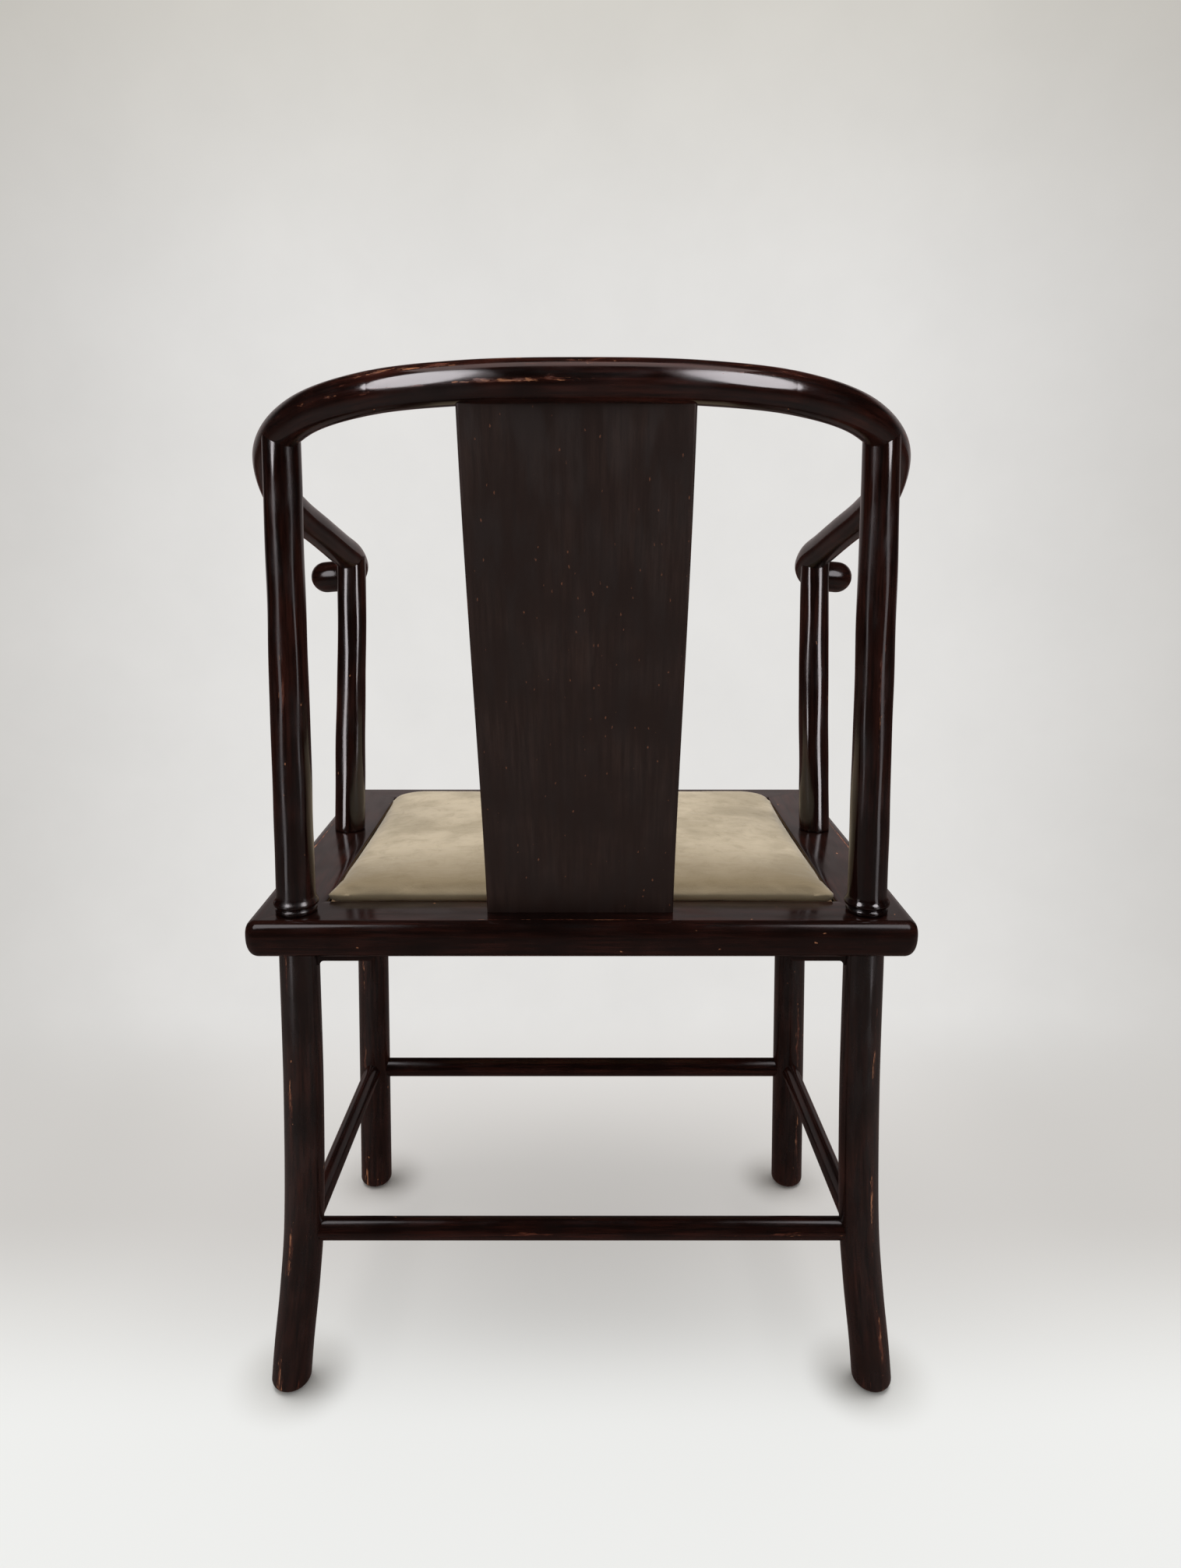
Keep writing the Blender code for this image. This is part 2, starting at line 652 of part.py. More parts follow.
def mitre_tenon(side, end_name):
    """Solids of the tenon across the mitre and, with clearance, of its mortise."""
    middle = (SEAT_HEIGHT + FRAME_BOTTOM) / 2
    if end_name == "rear":
        inner = REAR_LEG_X - LEG_TENON_RADIUS
        mitre_y = SEAT_REAR - (SEAT_SIDE - REAR_LEG_X) * REAR_RAIL_WIDTH / SIDE_RAIL_WIDTH
        direction = 1
        edge = SEAT_REAR
    else:
        inner = FRONT_LEG_X - LEG_TENON_RADIUS
        mitre_y = SEAT_FRONT + (SEAT_SIDE - FRONT_LEG_X) * FRONT_RAIL_WIDTH / SIDE_RAIL_WIDTH
        direction = -1
        edge = SEAT_FRONT
    outer = SEAT_SIDE - EDGE_SWELL - TENON_WALL
    reach = min(MITRE_TENON_REACH, abs(edge - mitre_y) - EDGE_SWELL - TENON_WALL)
    start = mitre_y - direction * 2 * MITRE_TENON_REACH
    end = mitre_y + direction * reach
    solids = []
    for clearance in (0, MATING_GAP):
        xs = sorted((side * (inner - clearance), side * (outer + clearance)))
        ys = sorted((start, end + direction * clearance))
        half = MITRE_TENON_THICKNESS / 2 + clearance
        solids.append(box((xs[0], ys[0], middle - half), (xs[1], ys[1], middle + half)))
    return solids


def build_seat_frame():
    """Four mitred rails with a rounded edge and a rabbet for the slip seat."""
    frame = {}
    lengthwise = {-1: SEAT_SIDE, 1: SEAT_SIDE}
    sides_around = {-1: SIDE_RAIL_WIDTH, 1: SIDE_RAIL_WIDTH}
    frame["seat_rail_rear"] = mitred_rail(
        "seat_rail_rear", REAR_RAIL_WIDTH, sides_around, lengthwise,
        lambda along, inward, z: (along, SEAT_REAR - inward, z))
    frame["seat_rail_front"] = mitred_rail(
        "seat_rail_front", FRONT_RAIL_WIDTH, sides_around, lengthwise,
        lambda along, inward, z: (along, SEAT_FRONT + inward, z))
    middle = (SEAT_REAR + SEAT_FRONT) / 2
    lengthwise = {-1: SEAT_DEPTH / 2, 1: SEAT_DEPTH / 2}
    ends_around = {-1: FRONT_RAIL_WIDTH, 1: REAR_RAIL_WIDTH}
    outline = rounded_outline(SEAT_SIDE + MATING_GAP, SEAT_FRONT - MATING_GAP, SEAT_REAR + MATING_GAP,
                              (CORNER_RADIUS, CORNER_RADIUS))
    levels = (FRAME_BOTTOM - CUT_OVERRUN, SEAT_HEIGHT + CUT_OVERRUN)
    corners = add_object("seat_outline", loft([[(x, y, z) for x, y in outline] for z in levels]))
    for label, side in SIDES.items():
        name = "seat_rail_" + label
        frame[name] = mitred_rail(
            name, SIDE_RAIL_WIDTH, ends_around, lengthwise,
            lambda along, inward, z, side=side: (side * (SEAT_SIDE - inward), middle + along, z))
        for end_name in ("rear", "front"):
            tenon, mortise = mitre_tenon(side, end_name)
            tenon = add_object("{}_{}_tenon".format(name, end_name), tenon)
            mortise = add_object("{}_{}_mortise".format(name, end_name), mortise)
            combine(frame[name], tenon, "UNION")
            combine(frame["seat_rail_" + end_name], mortise, "DIFFERENCE")
    for rail in frame.values():
        combine(rail, corners, "INTERSECT")
    return frame


def splat_centre(share):
    """Middle of the splat's thickness at a share of its height, in an S from foot to head."""
    eased = share ** SPLAT_CURVE_POWER
    sweep = eased * eased * (3 - 2 * eased)
    lean = eased + SPLAT_SWEEP_SHARE * (sweep - eased)
    return BACK_LINE + SPLAT_LEAN * lean, SEAT_HEIGHT + MATING_GAP + share * (CREST_HEIGHT - SEAT_HEIGHT)


def splat_ring(share, half_width, thickness, rounding):
    """Section of the splat, square to its curve but level at the foot, where it stands on the seat."""
    y, z = splat_centre(share)
    low = splat_centre(max(share - SLOPE_STEP_SHARE, 0))
    high = splat_centre(min(share + SLOPE_STEP_SHARE, 1))
    slope = math.hypot(high[0] - low[0], high[1] - low[1])
    normal = ((high[1] - low[1]) / slope, -(high[0] - low[0]) / slope) if share > 0 else (1, 0)
    half = thickness / 2
    corners = (
        (half_width, half - rounding), (half_width - rounding, half),
        (-half_width + rounding, half), (-half_width, half - rounding),
        (-half_width, -half + rounding), (-half_width + rounding, -half),
        (half_width - rounding, -half), (half_width, -half + rounding),
    )
    return [(x, y + out * normal[0], z + out * normal[1]) for x, out in corners]


def build_splat(sections, frame):
    """S-shaped splat: tongues at head and foot sit in grooves of the crest rail and seat rail."""
    half = SPLAT_WIDTH / 2
    shares = np.linspace(0, 1, 15)
    rings = [splat_ring(share, half, SPLAT_THICKNESS, SPLAT_EDGE_ROUND) for share in shares]
    splat = add_object("back_splat", loft(rings), SATIN_LACQUER)
    span = (half + CREST_RADIUS) / CREST.length
    combine(splat, crest_clearance("back_splat_cope", 0.5 - span, 0.5 + span), "DIFFERENCE")
    tongue_half = half - HEAD_TENON_RADIUS
    groove_top = 1 - (CREST_RADIUS - HEAD_TENON_REACH) / (CREST_HEIGHT - SEAT_HEIGHT)
    low = 1 - 2 * (CREST_RADIUS + HEAD_TENON_REACH) / (CREST_HEIGHT - SEAT_HEIGHT)
    for clearance, label, target, operation in (
            (0, "tongue", splat, "UNION"),
            (MATING_GAP, "groove", sections["crest_rail_middle"], "DIFFERENCE")):
        top_share = groove_top + clearance / (CREST_HEIGHT - SEAT_HEIGHT)
        rings = [splat_ring(share, tongue_half + clearance, SPLAT_TONGUE + 2 * clearance, SPLAT_EDGE_ROUND)
                 for share in np.linspace(low, top_share, 4)]
        combine(target, add_object("back_splat_head_" + label, loft(rings)), operation)
    foot_depth = FRAME_THICKNESS / 2
    thick = SPLAT_TONGUE / 2
    for clearance, label, target, operation in (
            (0, "tongue", splat, "UNION"),
            (MATING_GAP, "groove", frame["seat_rail_rear"], "DIFFERENCE")):
        bottom = SEAT_HEIGHT - foot_depth - clearance
        solid = box((-tongue_half - clearance, BACK_LINE - thick - clearance, bottom),
                    (tongue_half + clearance, BACK_LINE + thick + clearance, SEAT_HEIGHT + CUT_OVERRUN))
        combine(target, add_object("back_splat_foot_" + label, solid), operation)


def flare(height_share):
    heights = [share for share, _ in SABRE_SHARES][::-1]
    flares = [out for _, out in SABRE_SHARES][::-1]
    curve = SmoothPath([(height, out, 0) for height, out in zip(heights, flares)])
    order = np.argsort(curve.points[:, 0])
    return float(np.interp(height_share, curve.points[order, 0], curve.points[order, 1]))


def leg_centre(end_name, z):
    """Centre line of a right leg: the rear one is a sabre, the front one straight."""
    share = z / LEG_LENGTH
    if end_name == "rear":
        out = flare(share)
        return np.array((REAR_LEG_X + REAR_LEG_SPLAY * out, BACK_LINE + REAR_LEG_RAKE * out, z))
    out = 1 - share
    return np.array((FRONT_LEG_X + FRONT_LEG_SPLAY * out, FRONT_LEG_Y - FRONT_LEG_RAKE * out, z))


def leg_radius(z):
    return LEG_FOOT_RADIUS + (LEG_HEAD_RADIUS - LEG_FOOT_RADIUS) * z / LEG_LENGTH


def leg_rings(end_name, side, clearance=0):
    """Rings from the head to the rounded foot."""
    rings = []
    for share in LEG_LEVEL_SHARES:
        z = share * LEG_LENGTH
        rings.append(level_ring(mirror_x(leg_centre(end_name, z), side), leg_radius(z) + clearance))
    for height_share, inward_share in FOOT_SHARES:
        z = FOOT_ROUND * height_share
        radius = leg_radius(z) + clearance - FOOT_ROUND * inward_share
        rings.append(level_ring(mirror_x(leg_centre(end_name, z), side), radius))
    return rings


def build_legs(frame):
    """Rear sabre legs and straight front legs, with the sockets and tenons at their heads."""
    legs = {}
    for label, side in SIDES.items():
        rear = add_object("rear_leg_" + label, loft(leg_rings("rear", side)), LACQUER)
        socket = upright_rod((side * REAR_LEG_X, BACK_LINE), POST_TENON_RADIUS + MATING_GAP,
                             FRAME_BOTTOM - POST_SOCKET_DEPTH - MATING_GAP, FRAME_BOTTOM + CUT_OVERRUN)
        combine(rear, add_object(rear.name + "_socket", socket), "DIFFERENCE")
        legs["rear", label] = rear
        rings = leg_rings("front", side)
        head = (side * FRONT_LEG_X, FRONT_LEG_Y)
        tenon_top = LEG_LENGTH + LEG_TENON_HEIGHT
        tenon = [level_ring((*head, z), LEG_TENON_RADIUS) for z in (tenon_top, LEG_LENGTH)]
        front = add_object("front_leg_" + label, loft(tenon + rings), LACQUER)
        mortise = upright_rod(head, LEG_TENON_RADIUS + MATING_GAP, FRAME_BOTTOM - CUT_OVERRUN,
                              tenon_top + MATING_GAP)
        combine(frame["seat_rail_" + label], add_object(front.name + "_mortise", mortise), "DIFFERENCE")
        legs["front", label] = front
    return legs


def leg_clearances():
    """Legs with their mating gap, for coping what stands against them."""
    return {
        (end_name, label): add_object("{}_leg_{}_cope".format(end_name, label),
                                      loft(leg_rings(end_name, side, MATING_GAP)))
        for end_name in ("rear", "front") for label, side in SIDES.items()
    }


def stretcher_ring(centre, along):
    """Two arcs, over and under, that meet in a ridge half way up each side."""
    level = np.array((-along[1], along[0], 0))
    level = level / np.linalg.norm(level)
    steps = 6
    points = []
    for k in range(2 * steps):
        over = k < steps
        share = 1 - 2 * (k % steps) / steps
        if not over:
            share = -share
        out = STRETCHER_WIDTH / 2 * share
        rise = (1 - share * share) ** STRETCHER_FULLNESS_POWER
        up = STRETCHER_HEIGHT / 2 * rise * (1 if over else -1)
        points.append(centre + out * level + np.array((0, 0, up)))
    return points


def build_stretcher(name, legs, clearances, ends, level):
    """Stretcher between two legs, coped to them, with a stub tenon in each."""
    places = []
    for end_name, label in ends:
        places.append(mirror_x(leg_centre(end_name, level), SIDES[label]))
    start, finish = places
    along = (finish - start) / np.linalg.norm(finish - start)
    piece = add_object(name, loft([stretcher_ring(start, along), stretcher_ring(finish, along)]), LACQUER)
    for key in ends:
        combine(piece, clearances[key], "DIFFERENCE")
    for key, place, inward in ((ends[0], start, along), (ends[1], finish, -along)):
        tip = place + inward * (STRETCHER_TENON_RADIUS + TENON_WALL)
        root = place + inward * (leg_radius(level) + STRETCHER_HEIGHT)
        label = "{}_{}_{}".format(name, *key)
        tenon = add_object(label + "_tenon", rod_between(tip, root, STRETCHER_TENON_RADIUS))
        combine(piece, tenon, "UNION")
        mortise = rod_between(tip - inward * MATING_GAP, root, STRETCHER_TENON_RADIUS + MATING_GAP)
        combine(legs[key], add_object(label + "_mortise", mortise), "DIFFERENCE")


def build_stretchers(legs, clearances):
    build_stretcher("stretcher_rear", legs, clearances, (("rear", "left"), ("rear", "right")),
                    REAR_STRETCHER_LEVEL)
    build_stretcher("stretcher_front", legs, clearances, (("front", "left"), ("front", "right")),
                    FRONT_STRETCHER_LEVEL)
    for label in SIDES:
        build_stretcher("stretcher_" + label, legs, clearances, (("front", label), ("rear", label)),
                        SIDE_STRETCHER_LEVEL)


def spandrel_outline():
    """Side view from the leg outward: straight top, and a lower edge that sweeps down at the leg."""
    root = LEG_HEAD_RADIUS
    tip = root + SPANDREL_LENGTH
    points = [(0, 0), (tip, 0), (tip, -SPANDREL_DEPTH * SPANDREL_TIP_SHARE),
              (tip - SPANDREL_FILLET, -SPANDREL_DEPTH)]
    centre = (root + SPANDREL_FILLET, -SPANDREL_DEPTH - SPANDREL_FILLET)
    for k in range(ARC_STEPS + 1):
        turn = 0.5 * math.pi * (1 + k / ARC_STEPS)
        points.append((centre[0] + SPANDREL_FILLET * math.cos(turn),
                       centre[1] + SPANDREL_FILLET * math.sin(turn)))
    points.append((0, centre[1]))
    return points


def build_spandrels(clearances):
    """Two small boards at the head of each leg, one under each seat rail that meets over it."""
    top = FRAME_BOTTOM - MATING_GAP
    half = SPANDREL_THICKNESS / 2
    for label, side in SIDES.items():
        for end_name, x, y, inward in (("rear", REAR_LEG_X, BACK_LINE, -1),
                                       ("front", FRONT_LEG_X, FRONT_LEG_Y, 1)):
            for run in ("cross", "side"):
                rings = []
                for thick in (-half, half):
                    if run == "cross":
                        ring = [(side * (x - out), y + thick, top + up) for out, up in spandrel_outline()]
                    else:
                        ring = [(side * x + thick, y + inward * out, top + up)
                                for out, up in spandrel_outline()]
                    rings.append(ring)
                name = "spandrel_{}_{}_{}".format(end_name, run, label)
                piece = add_object(name, loft(rings), LACQUER)
                combine(piece, clearances[end_name, label], "DIFFERENCE")


def recess():
    """Half width, front and rear of the recess that the rails leave for the slip seat."""
    return SEAT_SIDE - SIDE_RAIL_WIDTH, SEAT_FRONT + FRONT_RAIL_WIDTH, SEAT_REAR - REAR_RAIL_WIDTH


def build_slip_seat(frame):
    """Two battens between the rails, the board on the rabbet, and the crowned pad on the board."""
    half_x, low_y, high_y = recess()
    inner_front = low_y + RABBET_LEDGE + MATING_GAP
    inner_rear = high_y - RABBET_LEDGE - MATING_GAP
    top = LEDGE_LEVEL - MATING_GAP
    for label, side in SIDES.items():
        x = side * BATTEN_SPACING / 2
        half = BATTEN_WIDTH / 2
        solid = box((x - half, inner_front, top - BATTEN_HEIGHT), (x + half, inner_rear, top))
        batten = add_object("seat_batten_" + label, solid, RAW_WOOD)
        half = half * BATTEN_TENON_SHARE
        middle = top - BATTEN_HEIGHT / 2
        thick = BATTEN_TENON_THICKNESS / 2
        for end_name, inner, outward in (("front", inner_front, -1), ("rear", inner_rear, 1)):
            for clearance, target, operation in ((0, batten, "UNION"),
                                                 (MATING_GAP, frame["seat_rail_" + end_name], "DIFFERENCE")):
                ys = sorted((inner - outward * CUT_OVERRUN,
                             inner + outward * (BATTEN_TENON_LENGTH + clearance)))
                tenon = box((x - half - clearance, ys[0], middle - thick - clearance),
                            (x + half + clearance, ys[1], middle + thick + clearance))
                name = "{}_{}_{}".format(batten.name, end_name, operation.lower())
                combine(target, add_object(name, tenon), operation)
    half_x = half_x - PAD_CLEARANCE
    low_y = low_y + PAD_CLEARANCE
    high_y = high_y - PAD_CLEARANCE
    board_bottom = LEDGE_LEVEL + MATING_GAP
    board_top = board_bottom + BOARD_THICKNESS
    outline = rounded_outline(half_x, low_y, high_y, (PAD_REAR_CORNER / 2, PAD_REAR_CORNER / 2))
    board = loft([[(x, y, z) for x, y in outline] for z in (board_bottom, board_top)])
    add_object("seat_board", board, RAW_WOOD)
    add_object("seat_pad", pad_solid(half_x, low_y, high_y, board_top + MATING_GAP), LEATHER)


def pad_outline(half_x, low_y, high_y):
    """Plan of the pad: rounded corners, with sides that draw in a little between them."""
    arcs = rounded_outline(half_x, low_y, high_y, (PAD_REAR_CORNER, PAD_FRONT_CORNER))
    count = ARC_STEPS + 1
    inward = ((0, -1), (1, 0), (0, 1), (-1, 0))
    points = []
    for corner in range(4):
        points += arcs[corner * count:(corner + 1) * count]
        start = np.array(arcs[(corner + 1) * count - 1])
        end = np.array(arcs[((corner + 1) * count) % len(arcs)])
        for k in range(1, PAD_SIDE_STEPS):
            share = k / PAD_SIDE_STEPS
            point = start + share * (end - start)
            point = point + PAD_DRAW_IN * math.sin(math.pi * share) * np.array(inward[corner])
            points.append(tuple(point))
    return np.array(points)


def pad_solid(half_x, low_y, high_y, bottom):
    outline = pad_outline(half_x, low_y, high_y)
    centre = np.array((0, (low_y + high_y) / 2))

    def ring(scale, z):
        flat = centre + (outline - centre) * scale
        return [(x, y, z) for x, y in flat]

    edge = SEAT_HEIGHT + PAD_EDGE_RISE
    rings = [ring(1 - PAD_UNDERCUT / half_x, bottom), ring(1, (bottom + edge) / 2), ring(1, edge)]
    for share in PAD_CROWN_SHARES:
        rise = (PAD_CROWN - PAD_EDGE_RISE) * math.sqrt(1 - share ** PAD_FULLNESS_POWER)
        rings.append(ring(share, edge + rise))
    return loft(rings)


def main():
    clear_scene()
    sections = build_crest_rail()
    frame = build_seat_frame()
    build_rear_posts(sections, frame)
    build_arm_posts(sections, frame)
    build_splat(sections, frame)
    legs = build_legs(frame)
    clearances = leg_clearances()
    build_stretchers(legs, clearances)
    build_spandrels(clearances)
    build_slip_seat(frame)


main()
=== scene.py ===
import json
from math import pi, radians

import bpy
import numpy as np
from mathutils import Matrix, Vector

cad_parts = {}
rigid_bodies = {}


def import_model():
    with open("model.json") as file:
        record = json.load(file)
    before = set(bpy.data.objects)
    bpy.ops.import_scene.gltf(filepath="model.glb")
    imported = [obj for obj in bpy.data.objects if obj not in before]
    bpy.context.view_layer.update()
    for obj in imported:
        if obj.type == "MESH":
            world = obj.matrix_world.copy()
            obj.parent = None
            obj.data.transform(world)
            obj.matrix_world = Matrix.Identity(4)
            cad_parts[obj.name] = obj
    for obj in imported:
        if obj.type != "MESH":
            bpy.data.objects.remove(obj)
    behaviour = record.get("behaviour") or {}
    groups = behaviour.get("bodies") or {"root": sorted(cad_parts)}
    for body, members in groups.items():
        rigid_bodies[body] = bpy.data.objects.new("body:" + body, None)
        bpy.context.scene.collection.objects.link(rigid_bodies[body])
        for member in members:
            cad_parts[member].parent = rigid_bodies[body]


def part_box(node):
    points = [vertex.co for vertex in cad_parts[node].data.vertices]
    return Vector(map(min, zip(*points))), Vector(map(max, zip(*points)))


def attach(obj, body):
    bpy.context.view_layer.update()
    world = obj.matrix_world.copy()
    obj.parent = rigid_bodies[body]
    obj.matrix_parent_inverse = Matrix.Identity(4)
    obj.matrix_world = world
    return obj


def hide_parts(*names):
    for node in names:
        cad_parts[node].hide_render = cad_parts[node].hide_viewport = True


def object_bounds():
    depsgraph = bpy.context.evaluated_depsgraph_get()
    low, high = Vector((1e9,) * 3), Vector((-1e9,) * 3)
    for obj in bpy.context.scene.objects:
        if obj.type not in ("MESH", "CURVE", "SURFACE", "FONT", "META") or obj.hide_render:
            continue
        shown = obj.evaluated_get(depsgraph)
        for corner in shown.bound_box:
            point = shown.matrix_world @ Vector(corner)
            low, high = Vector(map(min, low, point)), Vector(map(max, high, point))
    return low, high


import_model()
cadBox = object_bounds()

# Horseshoe-back armchair in worn near-black lacquer with a leather slip seat.
# Metres, +Z up. The chair faces -Y, the camera stands behind it.

scene = bpy.context.scene
sides = {"right": 1, "left": -1}

# The seat's outline and levels come from the frame, and everything stands on them
seatLow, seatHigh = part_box("seat_rail_rear")
seat = {
    "rear": seatHigh.y, "front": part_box("seat_rail_front")[0].y, "side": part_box("seat_rail_right")[1].x,
    "top": seatHigh.z, "bottom": seatLow.z,
    "swell": 0.010, "cornerRadius": 0.012, "topPower": 2.5, "bottomPower": 2.3,
    "rearWidth": 0.055, "sideWidth": 0.062, "frontWidth": 0.048,
    "rabbetDepth": 0.014, "rabbetLedge": 0.012, "arris": 0.0012, "mitreGap": 0.0001, "mitreLead": 0.02,
    "easeSteps": (0.0004, 0.0010, 0.0016, 0.0024), "easeEnd": 0.0035,
}
# centres of posts and legs, measured in from the seat's outline
insets = {"backLine": 0.0325, "rearLegX": 0.0405, "frontLegX": 0.043, "frontLegY": 0.108,
          "armPostX": 0.0355, "armPostY": 0.178}
backLine = seat["rear"] - insets["backLine"]      # rear posts, rear legs and splat stand on this line
rearLegX = seat["side"] - insets["rearLegX"]
armPostX = seat["side"] - insets["armPostX"]
armPostY = seat["front"] + insets["armPostY"]
legPlaces = {"rear": (rearLegX, backLine),
             "front": (seat["side"] - insets["frontLegX"], seat["front"] + insets["frontLegY"])}


def say(text):
    print("scene:", text)


# Small tools

def spline(knots, steps):
    # centripetal Catmull-Rom curve: between two knots, blends of the four nearest knots,
    # timed by the square root of their distances
    knots = np.array(knots, float)
    ends = np.vstack([2 * knots[0] - knots[1], knots, 2 * knots[-1] - knots[-2]])
    spans = []
    for k in range(len(knots) - 1):
        p = ends[k:k + 4]
        t = np.concatenate([[0], np.cumsum(np.linalg.norm(np.diff(p, axis=0), axis=1) ** 0.5)])
        s = np.linspace(t[1], t[2], steps, endpoint=False)[:, None]
        a = [((t[i + 1] - s) * p[i] + (s - t[i]) * p[i + 1]) / (t[i + 1] - t[i]) for i in range(3)]
        b = [((t[i + 2] - s) * a[i] + (s - t[i]) * a[i + 1]) / (t[i + 2] - t[i]) for i in range(2)]
        spans.append(((t[2] - s) * b[0] + (s - t[1]) * b[1]) / (t[2] - t[1]))
    return np.vstack(spans + [knots[-1:]])


def lengthsAlong(points):
    runs = np.linalg.norm(np.diff(points, axis=0), axis=1)
    return np.concatenate([[0], np.cumsum(runs)])


def readAt(points, lengths, places):
    return np.stack([np.interp(places, lengths, points[:, k]) for k in range(points.shape[1])], axis=-1)


def unit(vectors):
    return vectors / np.linalg.norm(vectors, axis=-1, keepdims=True)


def bump(values, centre, width):
    # bell curve: 1 at the centre, falling off over the width
    return np.exp(-((values - centre) / width) ** 2)


def smoothStep(values, low, high):
    t = np.clip((values - low) / (high - low), 0, 1)
    return t * t * (3 - 2 * t)

def joined(*parts):
    # arrays of coordinates, spread to one shape and joined as points
    return np.stack(np.broadcast_arrays(*parts), axis=-1)


def readPoints(mesh):
    points = np.empty(len(mesh.vertices) * 3)
    mesh.vertices.foreach_get("co", points)
    return points.reshape(-1, 3)


def setRub(mesh, share):
    # how much each point is rubbed, in place of what the mesh had
    if "rub" in mesh.attributes:
        mesh.attributes.remove(mesh.attributes["rub"])
    rubbed = mesh.attributes.new("rub", "FLOAT", "POINT")
    rubbed.data.foreach_set("value", share.reshape(-1).astype(np.float32))


def addPiece(name, grid, straight, rub, finish, stands, sharp=38):
    # a grid of rows and columns, wrapped round its columns and closed by a face at each end, with
    # the place on the straightened piece and the share of rubbing kept on its points; a finish is
    # a material and the record's slot that it belongs to
    rows, cols = grid.shape[:2]
    ring = np.arange(cols)
    after = np.roll(ring, -1)
    start = (np.arange(rows - 1) * cols)[:, None]
    quads = np.stack([start + ring, start + after, start + cols + after, start + cols + ring], axis=-1)
    quads = quads.reshape(-1, 4)
    points = grid.reshape(-1, 3)
    corners = points[quads]
    middle = corners.mean(axis=1) - points.mean(axis=0)
    normals = np.cross(corners[:, 2] - corners[:, 0], corners[:, 3] - corners[:, 1])
    faces = [list(face) for face in quads] + [list(ring[::-1]), list((rows - 1) * cols + ring)]
    if (middle * normals).sum() <= 0:
        faces = [face[::-1] for face in faces]
    mesh = bpy.data.meshes.new(name)
    mesh.from_pydata(points, [], faces)
    mesh.shade_smooth()
    mesh.set_sharp_from_angle(angle=radians(sharp))
    place = mesh.attributes.new("straight", "FLOAT_VECTOR", "POINT")
    place.data.foreach_set("vector", straight.reshape(-1).astype(np.float32))
    setRub(mesh, np.broadcast_to(rub, (rows, cols)))
    material, slot = finish
    mesh.materials.append(material)
    piece = bpy.data.objects.new(name, mesh)
    scene.collection.objects.link(piece)
    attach(piece, "root")
    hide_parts(*stands)
    return piece


# Node building

def fillInputs(tree, made, values):
    # a socket is linked, anything else becomes the input's own value
    for key, value in values.items():
        if isinstance(value, bpy.types.NodeSocket):
            tree.links.new(value, made.inputs[key])
        else:
            made.inputs[key].default_value = value


def addNode(tree, kind, values=None, **settings):
    made = tree.nodes.new("ShaderNode" + kind)
    for key, value in settings.items():
        setattr(made, key, value)
    fillInputs(tree, made, values or {})
    return made


def mathNode(tree, operation, a, b=0.0, clamp=False):
    return addNode(tree, "Math", {0: a, 1: b}, operation=operation, use_clamp=clamp).outputs[0]


def plus(tree, a, b, clamp=False):
    return mathNode(tree, "ADD", a, b, clamp)


def times(tree, a, b, clamp=False):
    return mathNode(tree, "MULTIPLY", a, b, clamp)


def restOf(tree, share):
    return mathNode(tree, "SUBTRACT", 1.0, share)


def vectorNode(tree, operation, a, b=(0, 0, 0), output="Vector"):
    return addNode(tree, "VectorMath", {0: a, 1: b}, operation=operation).outputs[output]


def partsOf(tree, vector):
    return addNode(tree, "SeparateXYZ", {"Vector": vector}).outputs


def noiseAt(tree, place, scale, detail, roughness=0.5, distortion=0.0):
    made = addNode(tree, "TexNoise", {"Vector": place, "Scale": scale, "Detail": detail,
                                      "Roughness": roughness, "Distortion": distortion})
    return made.outputs["Fac"]


def mixColour(tree, factor, a, b, blend="MIX"):
    return addNode(tree, "Mix", {0: factor, 6: a, 7: b}, data_type="RGBA", blend_type=blend).outputs[2]


def mixValue(tree, factor, a, b):
    return addNode(tree, "Mix", {0: factor, 2: a, 3: b}, data_type="FLOAT").outputs[0]


def ramp(tree, value, low, high):
    # smooth step from 0 at the low value to 1 at the high one, which may be the smaller
    made = addNode(tree, "MapRange", {"Value": value, "From Min": low, "From Max": high},
                   interpolation_type="SMOOTHSTEP")
    return made.outputs[0]


def reliefFrom(tree, height, strength=1.0):
    # heights are in metres
    return addNode(tree, "Bump", {"Height": height, "Distance": 1.0, "Strength": strength}).outputs[0]


def newGroup(name, vector, numbers, output, kind="Float"):
    # one vector and some numbers go in, one number or colour comes out
    group = bpy.data.node_groups.new(name, "ShaderNodeTree")
    sockets = [(vector, "INPUT", "Vector")] + [(label, "INPUT", "Float") for label in numbers]
    for label, way, what in sockets + [(output, "OUTPUT", kind)]:
        group.interface.new_socket(name=label, in_out=way, socket_type="NodeSocket" + what)
    given = group.nodes.new("NodeGroupInput").outputs
    return group, given, group.nodes.new("NodeGroupOutput").inputs[output]


def useGroup(tree, group, values):
    return addNode(tree, "Group", values, node_tree=group).outputs[0]


def stretched(tree, place, size, stretch):
    # coordinates divided by the pattern's size, and once more along the grain
    across = mathNode(tree, "DIVIDE", 1.0, size)
    along = mathNode(tree, "DIVIDE", across, stretch)
    scale = addNode(tree, "CombineXYZ", {"X": across, "Y": across, "Z": along})
    return vectorNode(tree, "MULTIPLY", place, scale.outputs[0])


# Effects that the finishes share

